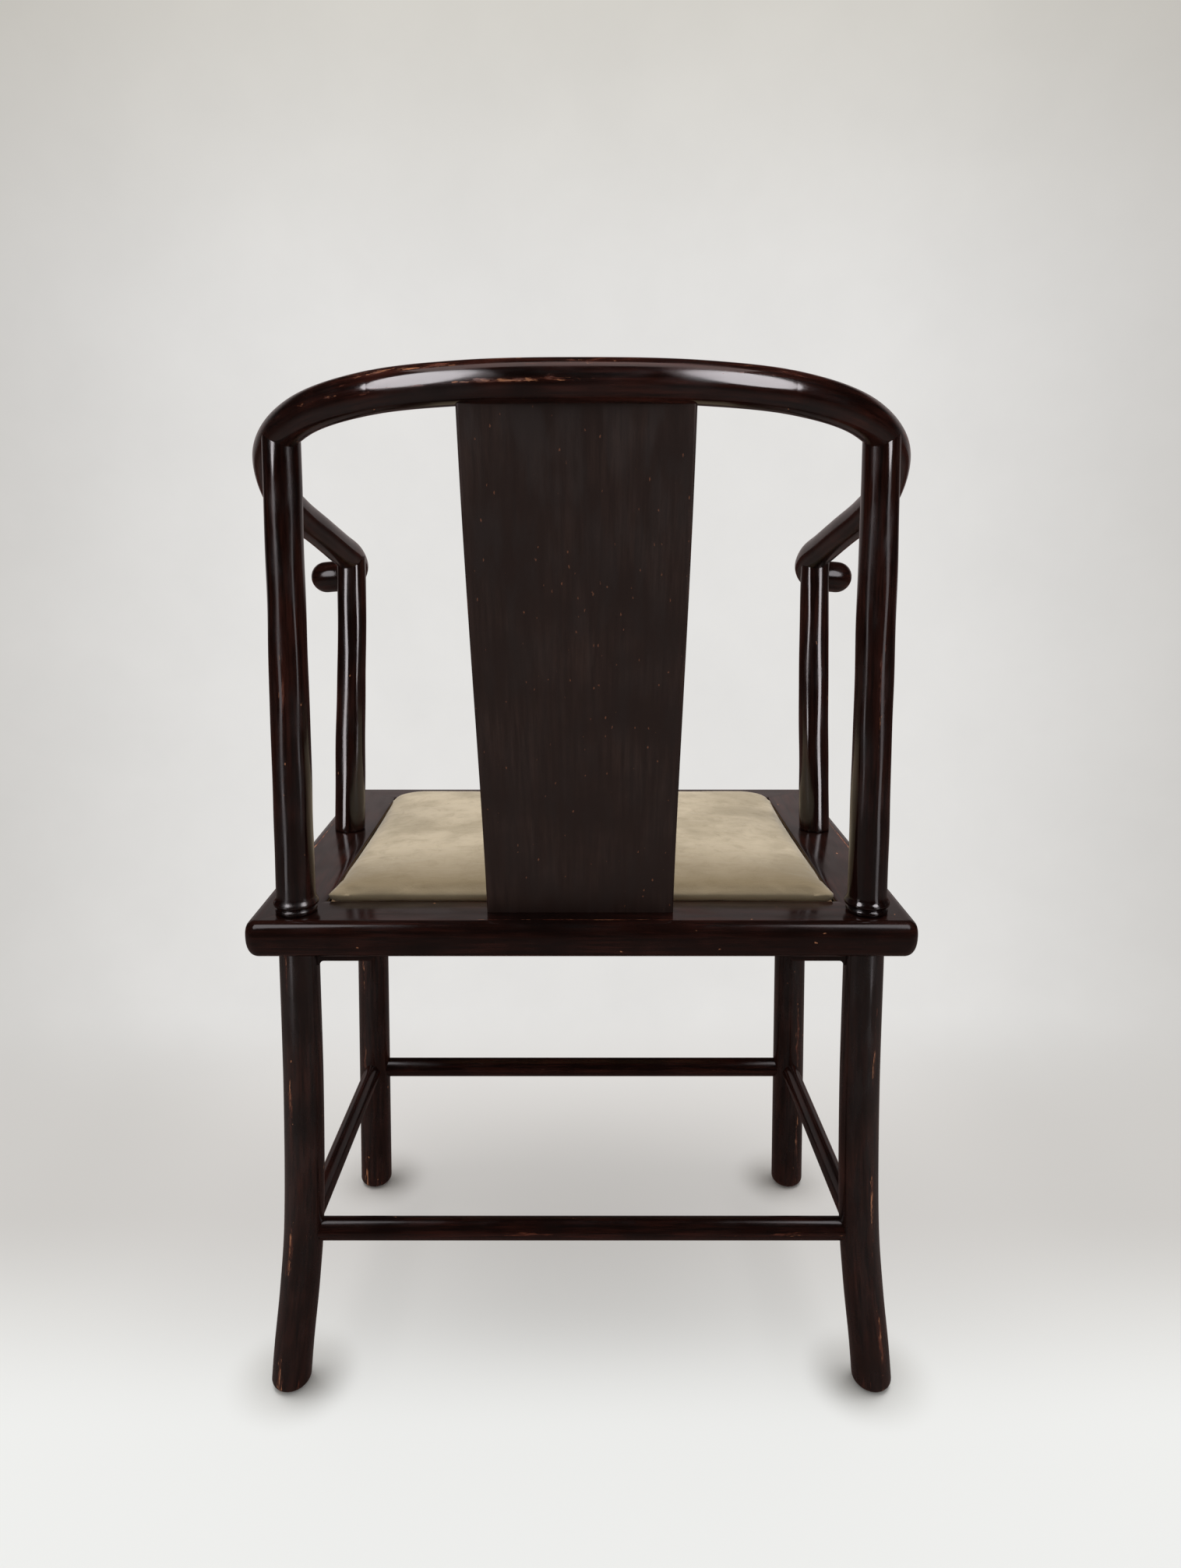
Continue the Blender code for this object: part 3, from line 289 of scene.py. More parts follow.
effects = {
    "grainDetail": 6.0, "grainRoughness": 0.62, "grainRange": (0.30, 0.72),
    "rubDetail": 8.0, "rubRoughness": 0.66, "rubDistortion": 0.25, "rubLift": 0.20,
    "chipStretch": 2.0, "chipWobble": 0.3, "chipWobbleScale": 5.0, "chipWobbleDetail": 3.0, "chipCore": 0.5,
    # size, stretch and detail of each layer of relief
    "relief": {"Wave": (0.016, 2.6, 1.0), "Grain": (0.0016, 14.0, 3.0), "Peel": (0.0028, 1.0, 2.0)},
}


def makeGrainGroup():
    # streaks along the grain: noise on stretched coordinates
    group, given, out = newGroup("grainStreaks", "Place", ("Size", "Stretch"), "Streak")
    place = stretched(group, given["Place"], given["Size"], given["Stretch"])
    noise = noiseAt(group, place, 1.0, effects["grainDetail"], effects["grainRoughness"])
    group.links.new(ramp(group, noise, *effects["grainRange"]), out)
    return group


def makeRubGroup():
    # worn places: broken noise that passes a level, and the piece's own rubbing lifts the noise
    group, given, out = newGroup("rubbedPlaces", "Place", ("Rub", "Size", "Stretch", "Level", "Softness"),
                                 "Mask")
    place = stretched(group, given["Place"], given["Size"], given["Stretch"])
    noise = noiseAt(group, place, 1.0, effects["rubDetail"], effects["rubRoughness"],
                    effects["rubDistortion"])
    lifted = plus(group, noise, times(group, given["Rub"], effects["rubLift"]))
    over = mathNode(group, "SUBTRACT", lifted, given["Level"])
    group.links.new(mathNode(group, "DIVIDE", over, given["Softness"], clamp=True), out)
    return group


def makeChipGroup():
    # small chips: the middles of wobbled cells, kept in the share of the cells that the spread gives
    group, given, out = newGroup("smallChips", "Place", ("Size", "Radius", "Spread"), "Mask")
    place = stretched(group, given["Place"], given["Size"], effects["chipStretch"])
    wobble = addNode(group, "TexNoise", {"Vector": place, "Scale": effects["chipWobbleScale"],
                                         "Detail": effects["chipWobbleDetail"]})
    shift = addNode(group, "VectorMath", {0: wobble.outputs["Color"], "Scale": effects["chipWobble"]},
                    operation="SCALE")
    moved = vectorNode(group, "ADD", place, shift.outputs[0])
    cells = addNode(group, "TexVoronoi", {"Vector": moved, "Scale": 1.0})
    core = times(group, given["Radius"], effects["chipCore"])
    dots = ramp(group, cells.outputs["Distance"], given["Radius"], core)
    tone = addNode(group, "SeparateColor", {"Color": cells.outputs["Color"]})
    kept = mathNode(group, "LESS_THAN", tone.outputs["Red"], given["Spread"])
    group.links.new(times(group, dots, kept), out)
    return group


def makeReliefGroup():
    # height in metres: slow waves of hand work, the grain under the lacquer, and fine orange peel
    group, given, out = newGroup("lacquerRelief", "Place", tuple(effects["relief"]), "Height")
    layers = []
    for label, (size, stretch, detail) in effects["relief"].items():
        noise = noiseAt(group, stretched(group, given["Place"], size, stretch), 1.0, detail)
        layers.append(times(group, noise, given[label]))
    group.links.new(plus(group, plus(group, layers[0], layers[1]), layers[2]), out)
    return group


grainGroup = makeGrainGroup()
rubGroup = makeRubGroup()
chipGroup = makeChipGroup()
reliefGroup = makeReliefGroup()


# Finishes: each is a material and the record's slot

def newMaterial(name):
    material = bpy.data.materials.new(name)
    material.use_nodes = True
    tree = material.node_tree
    return material, tree, tree.nodes["Principled BSDF"]


def straightPlace(tree):
    return addNode(tree, "Attribute", attribute_name="straight").outputs["Vector"]


def rubShare(tree):
    return addNode(tree, "Attribute", attribute_name="rub").outputs["Fac"]


glossLacquer = {
    "slot": "lacquered_wood", "deep": (0.0045, 0.0015, 0.0011, 1), "warm": (0.028, 0.0078, 0.0054, 1),
    "rubbed": (0.105, 0.027, 0.013, 1), "bare": (0.36, 0.15, 0.075, 1),
    "specular": 0.5, "coat": 0.10, "coatRoughness": 0.06, "smooth": 0.10, "dull": 0.24, "rubDulls": 0.16,
    "grainSize": 0.0035, "grainStretch": 16.0, "cloudScale": 14.0, "cloudRange": (0.32, 0.70),
    "rubWarms": 0.8, "rubLevel": 0.77, "rubEdge": 0.10, "bareLevel": 0.84, "bareEdge": 0.05,
    "bareFiner": 0.55, "rubSize": 0.008, "rubStretch": 4.5,
    "smearSize": 0.012, "smearStretch": 4.0, "smearRange": (0.38, 0.66),
    "chipSize": 0.013, "chipRadius": 0.07, "chipSpread": 0.22, "chipDepth": 0.00003,
    "wave": 0.00010, "grain": 0.000010, "peel": 0.000006,
}


def makeLacquer(name, changes):
    # dark lacquer over wood: grain streaks between two browns, red-brown where rubbed, orange where bare
    look = {**glossLacquer, **changes}
    material, tree, shader = newMaterial(name)
    place, rub = straightPlace(tree), rubShare(tree)
    streak = useGroup(tree, grainGroup, {"Place": place, "Size": look["grainSize"],
                                         "Stretch": look["grainStretch"]})
    cloud = ramp(tree, noiseAt(tree, place, look["cloudScale"], 3.0), *look["cloudRange"])
    body = times(tree, streak, plus(tree, cloud, times(tree, rub, look["rubWarms"])), clamp=True)
    worn = {"Place": place, "Rub": rub, "Stretch": look["rubStretch"]}
    rubMask = useGroup(tree, rubGroup, {**worn, "Size": look["rubSize"], "Level": look["rubLevel"],
                                        "Softness": look["rubEdge"]})
    bareMask = useGroup(tree, rubGroup, {**worn, "Size": look["rubSize"] * look["bareFiner"],
                                         "Level": look["bareLevel"], "Softness": look["bareEdge"]})
    chipMask = useGroup(tree, chipGroup, {"Place": place, "Size": look["chipSize"],
                                          "Radius": look["chipRadius"], "Spread": look["chipSpread"]})
    colour = mixColour(tree, body, look["deep"], look["warm"])
    colour = mixColour(tree, rubMask, colour, look["rubbed"])
    colour = mixColour(tree, mathNode(tree, "MAXIMUM", bareMask, chipMask), colour, look["bare"])
    smear = noiseAt(tree, stretched(tree, place, look["smearSize"], look["smearStretch"]), 1.0, 5.0)
    rough = mixValue(tree, ramp(tree, smear, *look["smearRange"]), look["smooth"], look["dull"])
    rough = plus(tree, rough, times(tree, rubMask, look["rubDulls"]), clamp=True)
    height = useGroup(tree, reliefGroup, {"Place": place, "Wave": look["wave"], "Grain": look["grain"],
                                          "Peel": look["peel"]})
    height = mathNode(tree, "SUBTRACT", height, times(tree, chipMask, look["chipDepth"]))
    fillInputs(tree, shader, {
        "Base Color": colour, "Roughness": rough, "Normal": reliefFrom(tree, height),
        "Specular IOR Level": look["specular"], "Coat Weight": look["coat"],
        "Coat Roughness": look["coatRoughness"]})
    return material, look["slot"]


railLacquer = makeLacquer("railLacquer", {
    "warm": (0.040, 0.0100, 0.0066, 1), "rubLevel": 0.665, "bareLevel": 0.735, "rubSize": 0.0045,
    "chipSize": 0.009, "chipRadius": 0.055, "chipSpread": 0.35})
postLacquer = makeLacquer("postLacquer", {"rubStretch": 9.0, "rubSize": 0.0045, "chipSpread": 0.16})
rearPostLacquer = makeLacquer("rearPostLacquer", {
    "rubStretch": 9.0, "rubSize": 0.0045, "chipSpread": 0.26, "specular": 0.45, "dull": 0.28})
frameLacquer = makeLacquer("frameLacquer", {
    "deep": (0.0070, 0.0030, 0.0024, 1), "rubStretch": 7.0, "rubSize": 0.004, "smooth": 0.13,
    "chipSpread": 0.34, "specular": 0.24})
legLacquer = makeLacquer("legLacquer", {
    "deep": (0.0070, 0.0032, 0.0026, 1), "warm": (0.032, 0.0108, 0.0078, 1), "smooth": 0.14, "dull": 0.34,
    "rubLevel": 0.73, "bareLevel": 0.79, "rubStretch": 9.0, "rubSize": 0.003, "chipSpread": 0.36})
splatLacquer = makeLacquer("splatLacquer", {
    "slot": "satin_lacquered_wood", "deep": (0.0235, 0.0128, 0.0106, 1), "warm": (0.040, 0.0220, 0.0178, 1),
    "bare": (0.145, 0.056, 0.030, 1), "smooth": 0.34, "dull": 0.46, "coat": 0.0, "specular": 0.22,
    "chipSize": 0.0058, "chipRadius": 0.12, "chipSpread": 0.60, "wave": 0.00005})

planed = {"pale": (0.42, 0.28, 0.16, 1), "dark": (0.28, 0.165, 0.085, 1), "line": (0.14, 0.075, 0.035, 1),
          "fine": 0.0016, "fineStretch": 26.0, "coarse": 0.011, "coarseStretch": 12.0, "lineShare": 0.45,
          "smooth": 0.62, "dull": 0.80, "tooth": 0.00006}


def makePlainWood():
    # planed wood that never got lacquer: pale and dark grain lines with a fine tooth
    material, tree, shader = newMaterial("plainWood")
    place = straightPlace(tree)
    fine, coarse = (useGroup(tree, grainGroup, {"Place": place, "Size": planed[size],
                                                "Stretch": planed[size + "Stretch"]})
                    for size in ("fine", "coarse"))
    colour = mixColour(tree, coarse, planed["pale"], planed["dark"])
    fillInputs(tree, shader, {
        "Base Color": mixColour(tree, times(tree, fine, planed["lineShare"]), colour, planed["line"]),
        "Roughness": mixValue(tree, fine, planed["smooth"], planed["dull"]),
        "Normal": reliefFrom(tree, times(tree, fine, planed["tooth"]))})
    return material, "raw_wood"


plainWood = makePlainWood()
say("finishes ready")


# Crest rail: the bow round the back and the arms that run on from it to the scrolls

rail = {
    "radius": 0.0147, "scrollRadius": 0.0165, "height": 0.945, "halfWidth": 0.2635,
    "backY": cadBox[1].y - 0.0147, "bowDepth": 0.185, "bowDrop": 0.0685, "fallPower": 1.6,
    "armReach": 0.2235, "armDrop": 0.086, "swellStart": 0.72, "sides": 64, "step": 0.0022,
    "joints": (0.235, 0.640), "hairline": 0.00004, "domeStart": 0.06, "domeEnd": 0.995, "domeRows": 16,
    "armShares": ((0.994, 0.200, 0.200), (0.967, 0.425, 0.400), (0.946, 0.645, 0.590), (0.932, 0.805, 0.730),
                  (0.940, 0.905, 0.865), (0.980, 0.980, 0.965), (1.070, 1.000, 1.000)),
    # rubbed places: strength, degrees up from the outer side and their spread, place along and its run
    "wear": ((1.3, -4, 6, 0.05, 0.06), (1.0, 44, 7, 0.13, 0.035), (1.0, 2, 6, 0.20, 0.06),
             (0.9, 10, 9, -0.30, 0.05), (0.5, 56, 28, 0, 0.30)),
    "armWear": (0.35, 60, 30), "armWearReach": (0.62, 0.95),
}


def railHalf():
    # quarter of an ellipse from the middle of the back to the widest place, falling by a power of
    # the cosine, then the arm's own points as shares of its width, reach and drop
    turn = np.linspace(0, pi / 2, 6)
    widestY = rail["backY"] - rail["bowDepth"]
    bow = np.stack([rail["halfWidth"] * np.sin(turn), widestY + rail["bowDepth"] * np.cos(turn),
                    rail["height"] - rail["bowDrop"] * (1 - np.cos(turn)) ** rail["fallPower"]], axis=1)
    share = np.array(rail["armShares"])
    arm = np.stack([rail["halfWidth"] * share[:, 0], widestY - rail["armReach"] * share[:, 1],
                    rail["height"] - rail["bowDrop"] - rail["armDrop"] * share[:, 2]], axis=1)
    return np.vstack([bow, arm])


halfRail = railHalf()
railLine = spline(np.vstack([halfRail[:0:-1] * (-1, 1, 1), halfRail]), 40)
railLengths = lengthsAlong(railLine)
railLength = railLengths[-1]


def railRadius(place):
    # radius at a length along the rail: even, then swelling smoothly to the scroll
    reach = np.abs(place / railLength - 0.5) * 2
    return rail["radius"] + (rail["scrollRadius"] - rail["radius"]) * smoothStep(reach, rail["swellStart"], 1)


def railFrame(places):
    centre = readAt(railLine, railLengths, places)
    nudge = 0.003
    along = unit(readAt(railLine, railLengths, np.minimum(places + nudge, railLength))
                 - readAt(railLine, railLengths, np.maximum(places - nudge, 0)))
    across = unit(np.cross(along, (0, 0, 1)))
    return centre, along, across, np.cross(across, along)


def railTube(start, end, capStart, capEnd):
    # circle of the rail's radius carried along its centre line; a scroll ends in half a ball,
    # and a section's end is eased by a hair so that its joint shows as a fine line
    places = np.linspace(start, end, int((end - start) / rail["step"]))
    radii = railRadius(places)
    shift = np.zeros(len(places))
    dome = np.linspace(rail["domeStart"], rail["domeEnd"], rail["domeRows"]) * pi / 2
    domeShift, domeRadii = rail["scrollRadius"] * np.sin(dome), rail["scrollRadius"] * np.cos(dome)
    if capStart:
        places = np.concatenate([np.full(len(dome), start), places])
        shift = np.concatenate([-domeShift[::-1], shift])
        radii = np.concatenate([domeRadii[::-1], radii])
    else:
        radii[0] -= rail["hairline"]
    if capEnd:
        places = np.concatenate([places, np.full(len(dome), end)])
        shift = np.concatenate([shift, domeShift])
        radii = np.concatenate([radii, domeRadii])
    else:
        radii[-1] -= rail["hairline"]
    centre, along, across, up = railFrame(places)
    turn = np.linspace(0, 2 * pi, rail["sides"], endpoint=False)
    circle = np.cos(turn)[:, None] * across[:, None, :] + np.sin(turn)[:, None] * up[:, None, :]
    grid = (centre + along * shift[:, None])[:, None, :] + radii[:, None, None] * circle
    straight = joined(radii[:, None] * np.cos(turn), radii[:, None] * np.sin(turn), (places + shift)[:, None])
    # hands rub the upper outer side most, near the middle of the back, and less on the arms
    outer = np.where(across[:, :1] * centre[:, :1] + across[:, 1:2] * (centre[:, 1:2] - armPostY) > 0, 1, -1)
    slope = np.degrees(np.arctan2(np.sin(turn), outer * np.cos(turn)))
    off = (places - railLength / 2)[:, None]
    rub = sum(strength * bump(slope, angle, spread) * bump(off, place, run)
              for strength, angle, spread, place, run in rail["wear"])
    strength, angle, spread = rail["armWear"]
    arms = smoothStep(np.abs(places / railLength - 0.5) * 2, *rail["armWearReach"])[:, None]
    return grid, straight, rub + strength * bump(slope, angle, spread) * arms


def buildRail():
    backShare, armShare = rail["joints"]
    cuts = railLength * (0.5 + 0.5 * np.array([-1, -armShare, -backShare, backShare, armShare, 1]))
    sections = (
        ("armRailLeft", ("arm_rail_left", "scarf_wedge_arm_left")),
        ("shoulderRailLeft", ("crest_rail_shoulder_left", "scarf_wedge_back_left")),
        ("crestRail", ("crest_rail_middle",)),
        ("shoulderRailRight", ("crest_rail_shoulder_right", "scarf_wedge_back_right")),
        ("armRailRight", ("arm_rail_right", "scarf_wedge_arm_right")),
    )
    for k, (name, stands) in enumerate(sections):
        grid, straight, rub = railTube(cuts[k], cuts[k + 1], k == 0, k == len(sections) - 1)
        addPiece(name, grid, straight, rub, railLacquer, stands)


buildRail()
say("crest rail ready")


def railPointAtY(y, side):
    # centre of the rail where the bow or the arm passes over a depth
    half = railLine[len(railLine) // 2:]
    order = np.argsort(half[:, 1])
    x, z = (float(np.interp(y, half[order, 1], half[order, k])) for k in (0, 2))
    return np.array((side * x, y, z))


def undersideAt(x, y):
    # level of the rail's underside over each place: the nearest point of the centre line in plan,
    # less the rise of the round section there, opened out by the line's own slope
    gaps = np.hypot(x[:, None] - railLine[:, 0], y[:, None] - railLine[:, 1])
    nearest = gaps.argmin(axis=1)
    off = gaps[np.arange(len(x)), nearest]
    _, along, _, _ = railFrame(railLengths[nearest])
    level = np.hypot(along[:, 0], along[:, 1])
    radius = railRadius(railLengths[nearest])
    return railLine[nearest, 2] - np.sqrt(np.clip(radius ** 2 - off ** 2, 0, None)) / level


# Posts

def turnedGrid(centres, radii, sides, uneven=None):
    # level circles of given radii on a row of centres, made uneven by a function of the angle
    turn = np.linspace(0, 2 * pi, sides, endpoint=False)
    circle = np.stack([np.cos(turn), np.sin(turn), np.zeros(sides)], axis=1)
    grid = centres[:, None, :] + radii[:, None, None] * circle
    if uneven is not None:
        grid = grid + uneven(turn)[..., None] * circle
    straight = joined(radii[:, None] * np.cos(turn), radii[:, None] * np.sin(turn),
                      lengthsAlong(centres)[:, None])
    return grid, straight, turn


posts = {
    "rearFoot": 0.0172, "rearHead": 0.0149, "rearLean": 0.0172,
    "armFoot": 0.0167, "armHead": 0.0148, "armBow": 0.006, "sides": 56, "sink": 0.0008, "seatGap": 0.0002,
    # height above the seat and radius: bead, groove, hollow flare
    "collar": ((0.0000, 0.0178), (0.0010, 0.0184), (0.0026, 0.0185), (0.0040, 0.0180), (0.0048, 0.0172),
               (0.0054, 0.0171), (0.0061, 0.0178), (0.0070, 0.0191), (0.0082, 0.0199), (0.0096, 0.0199),
               (0.0110, 0.0193), (0.0124, 0.0185), (0.0140, 0.0178), (0.0162, 0.0174), (0.0270, 0.0172)),
    "armShoulder": (0.0009, 0.0003), "armSway": {"right": (0.0010, -0.0020), "left": (-0.0022, -0.0014)},
    "armSwayReach": (0.35, 0.85), "uneven": 0.0003, "unevenRise": 0.06, "rearUnevenStart": 0.03,
    "armUnevenStart": 0.01, "rearPattern": (0.7, 0.3), "armPattern": (1.3, 0.9),
    # strength, height and spread of the rubbing over what lies everywhere
    "rubbed": 0.20, "rearWear": (1.1, 0.19, 0.08), "armWear": (0.3, 0.35, 0.25), "rearWearSide": (0.1, 0.3),
    # the uneven waves: strength, waves along and round, and how far a seed shifts them
    "waves": ((1.0, 31, 2, 1.0), (0.7, 53, -3, 2.1), (0.5, 83, 1, 3.7)), "waveSum": 1.5,
}


def unevenRadius(heights, turn, start, seed):
    # hand work: slow waves along and round the post, growing from nothing above its foot
    h, a = heights[:, None], turn[None, :]
    wave = sum(strength * np.sin(h * along + a * around + shift * seed)
               for strength, along, around, shift in posts["waves"])
    return posts["uneven"] * wave / posts["waveSum"] * smoothStep(h, start, start + posts["unevenRise"])


def copeToRail(grid, base):
    # stretches each column of a post so that its last ring follows the rail's underside
    top = undersideAt(grid[-1, :, 0], grid[-1, :, 1]) + posts["sink"]
    share = np.clip((grid[..., 2] - base) / (grid[-1, :, 2] - base), 0, 1)
    lean = grid[-1] - grid[-2]
    stretch = share * (top - grid[-1, :, 2])
    return grid + stretch[..., None] * lean / lean[:, 2:]


def buildRearPost(label, side):
    # leaning straight line from the seat to the rail, with the collar turned on its foot
    foot = np.array((side * rearLegX, backLine, seat["top"] + posts["seatGap"]))
    head = railPointAtY(backLine + posts["rearLean"], side)
    collar = spline([(radius, height) for height, radius in posts["collar"]], 4)
    shaft = np.linspace(collar[-1, 1], head[2] - rail["radius"] - foot[2], 60)[1:]
    heights = np.concatenate([collar[:, 1], shaft])
    swell = (shaft - collar[-1, 1]) / (shaft[-1] - collar[-1, 1])
    shaftRadii = posts["rearFoot"] + swell * (posts["rearHead"] - posts["rearFoot"])
    radii = np.concatenate([collar[:, 0], shaftRadii])
    centres = foot + (head - foot) * (heights / (head[2] - foot[2]))[:, None]
    grid, straight, turn = turnedGrid(
        centres, radii, posts["sides"],
        lambda turn: unevenRadius(heights, turn, posts["rearUnevenStart"], 1 + side))
    grid = copeToRail(grid, grid[len(collar), 0, 2])
    aside, width = posts["rearWearSide"]
    behind = bump(np.cos(turn), aside * side, width) * (np.sin(turn) > 0)
    strength, height, spread = posts["rearWear"]
    rub = posts["rubbed"] + strength * bump(heights, height, spread)[:, None] * behind
    x, y = posts["rearPattern"]
    addPiece("rearPost" + label.capitalize(), grid, straight + (x * side, y, 0), rub, rearPostLacquer,
             ["rear_post_" + label])


def buildArmPost(label, side):
    # slightly bowed to the front and swaying sideways, with a small eased shoulder at the foot
    foot = np.array((side * armPostX, armPostY, seat["top"] + posts["seatGap"]))
    head = railPointAtY(armPostY, side)
    share = np.concatenate([[0, 0.0012, 0.0035], np.linspace(0.008, 1, 60)])
    rise = head[2] - rail["radius"] - foot[2]
    centres = foot + (head - foot) * (share * rise / (head[2] - foot[2]))[:, None]
    centres[:, 1] -= posts["armBow"] * np.sin(pi * share)
    low, high = posts["armSway"][label]
    centres[:, 0] += low + (high - low) * smoothStep(share, *posts["armSwayReach"])
    radii = posts["armFoot"] + share * (posts["armHead"] - posts["armFoot"])
    radii[:2] -= posts["armShoulder"]
    grid, straight, turn = turnedGrid(
        centres, radii, posts["sides"],
        lambda turn: unevenRadius(share * rise, turn, posts["armUnevenStart"], 4 + side))
    grid = copeToRail(grid, grid[3, 0, 2])
    strength, height, spread = posts["armWear"]
    x, y = posts["armPattern"]
    addPiece("armPost" + label.capitalize(), grid, straight + (x * side, y, 0),
             posts["rubbed"] + strength * bump(share, height, spread)[:, None], postLacquer,
             ["arm_post_" + label])


for label, side in sides.items():
    buildRearPost(label, side)
    buildArmPost(label, side)
say("posts ready")


# Splat

splat = {"width": 0.1665, "thickness": 0.012, "lean": 0.1105, "round": 0.0025, "curvePower": 0.95,
         "sweep": 0.5, "rows": 110, "gap": 0.0003, "intoRail": 0.006, "sway": (0.0012, 0.0036),
         "edgeWear": 0.85, "edgeBand": 0.004, "markWear": 1.6, "markAcross": (-0.004, 0.0015),
         "markUp": (0.365, 0.012)}


def roundedBar(halfWidth, halfThick, radius, arcSteps=5, flatSteps=24):
    # outline of a bar with rounded arrises, as width and thickness
    corners = []
    for k, (sx, sy) in enumerate(((1, 1), (-1, 1), (-1, -1), (1, -1))):
        turn = (k + np.linspace(0, 1, arcSteps)) * pi / 2
        corners.append(np.stack([sx * (halfWidth - radius) + radius * np.cos(turn),
                                 sy * (halfThick - radius) + radius * np.sin(turn)], axis=1))
    outline = []
    for k, corner in enumerate(corners):
        following = corners[(k + 1) % 4][0]
        steps = flatSteps if k % 2 == 0 else 4
        fill = np.linspace(corner[-1], following, steps + 1)[1:-1]
        outline += [corner, fill]
    return np.vstack(outline)


def buildSplat():
    # rounded bar carried up an S: part of the lean follows a smooth step of the height, the rest is straight
    height = rail["height"] - seat["top"]
    share = np.linspace(0, (height - rail["radius"] + splat["intoRail"]) / height, splat["rows"])
    eased = share ** splat["curvePower"]
    y = backLine + splat["lean"] * (eased + splat["sweep"] * (smoothStep(eased, 0, 1) - eased))
    z = seat["top"] + splat["gap"] + share * height
    slope = unit(np.stack([np.gradient(y, share), np.gradient(z, share)], axis=1))
    slope[0] = (0, 1)
    outline = roundedBar(splat["width"] / 2, splat["thickness"] / 2, splat["round"])
    x, out = outline[:, 0], outline[:, 1]
    low, high = splat["sway"]
    grid = joined(x + (low + (high - low) * share)[:, None], y[:, None] + out * slope[:, 1:],
                  z[:, None] - out * slope[:, :1])
    length = lengthsAlong(np.stack([y, z], axis=1))
    edge = smoothStep(np.abs(x), splat["width"] / 2 - splat["edgeBand"], splat["width"] / 2)
    mark = bump(x, *splat["markAcross"]) * bump(length, *splat["markUp"])[:, None]
    rub = splat["edgeWear"] * edge + splat["markWear"] * mark * (out > 0)
    addPiece("backSplat", grid, joined(x, out, length[:, None]), rub, splatLacquer, ["back_splat"])


buildSplat()
say("splat ready")


# Seat frame

# a rubbed upper arris, strongest in its middle, and rubbed corners
frameWear = {"everywhere": 0.10, "arris": (0.0110, 0.0011), "arrisDepth": 0.003, "arrisEnds": 0.7,
             "arrisMiddle": 0.9, "middleRun": 0.12, "corner": 0.45, "cornerRun": 0.014, "cornerDepth": 0.008}


def railProfile(width):
    # section of a seat rail as distance in from the edge and height: a rounded edge of unequal
    # powers above and below, the flat top, the inner wall down to the rabbet, and the flat underside
    top, bottom, swell, arris = (seat[key] for key in ("top", "bottom", "swell", "arris"))
    turn = np.linspace(-pi / 2, pi / 2, 41)
    power = 2 / np.where(turn > 0, seat["topPower"], seat["bottomPower"])
    half = (top - bottom) / 2
    ease = np.linspace(0, pi / 2, 5)
    ledge, lip = top - seat["rabbetDepth"], width + seat["rabbetLedge"]
    topRun = np.concatenate([swell + np.array(seat["easeSteps"]),
                             np.linspace(swell + seat["easeEnd"], width - arris, 9)[:-1]])
    runs = [
        (swell * (1 - np.abs(np.cos(turn)) ** power),
         bottom + half + half * np.sign(turn) * np.abs(np.sin(turn)) ** power),
        (topRun, top),
        (width - arris + arris * np.sin(ease), top - arris + arris * np.cos(ease)),
        (np.array([width, lip - arris, lip, lip]), np.array([ledge, ledge, ledge - arris, bottom])),
        (np.linspace(lip, swell, 16)[1:-1], bottom),
    ]
    return np.vstack([joined(*run) for run in runs]).T


def mitredRail(name, width, neighbours, halfLength, place, node, seed):
    # the profile runs along the rail; outside the corner radius it turns half the corner, and
    # further in it ends on the mitre, so that four rails meet round the seat
    inward, z = railProfile(width)
    radius = seat["cornerRadius"]
    turns = np.linspace(pi / 4, 0, 9)
    outer = inward < radius

    def endRows(sign, neighbour):
        along = np.empty((len(turns), len(inward)))
        inset = np.empty_like(along)
        arm = radius - inward[outer]
        along[:, outer] = halfLength - radius + arm * np.sin(turns)[:, None]
        inset[:, outer] = radius - arm * np.cos(turns)[:, None]
        mitre = halfLength - radius - (inward[~outer] - radius) * (neighbour - radius) / (width - radius)
        along[:, ~outer] = mitre - seat["mitreLead"] * (1 - turns / (pi / 4))[:, None]
        inset[:, ~outer] = inward[~outer]
        return sign * (along - seat["mitreGap"]), inset

    lowAlong, lowInset = endRows(-1, neighbours[0])
    highAlong, highInset = endRows(1, neighbours[1])
    share = (np.linspace(-1, 1, 60)[1:-1, None] + 1) / 2
    middle = lowAlong[-1] + share * (highAlong[-1] - lowAlong[-1])
    along = np.vstack([lowAlong, middle, highAlong[::-1]])
    inset = np.vstack([lowInset, np.broadcast_to(inward, middle.shape), highInset[::-1]])
    level = np.broadcast_to(z, along.shape)
    wear = frameWear
    arris = bump(inset, *wear["arris"]) * bump(level, seat["top"], wear["arrisDepth"])
    arris = arris * (wear["arrisEnds"] + wear["arrisMiddle"] * bump(along, 0, wear["middleRun"]))
    corner = smoothStep(np.abs(along), halfLength - wear["cornerRun"], halfLength)
    corner = corner * (1 - smoothStep(inset, 0.0, wear["cornerDepth"]))
    addPiece(name, place(along, inset, level), joined(inset + seed, level, along),
             wear["everywhere"] + arris + wear["corner"] * corner, frameLacquer, [node])


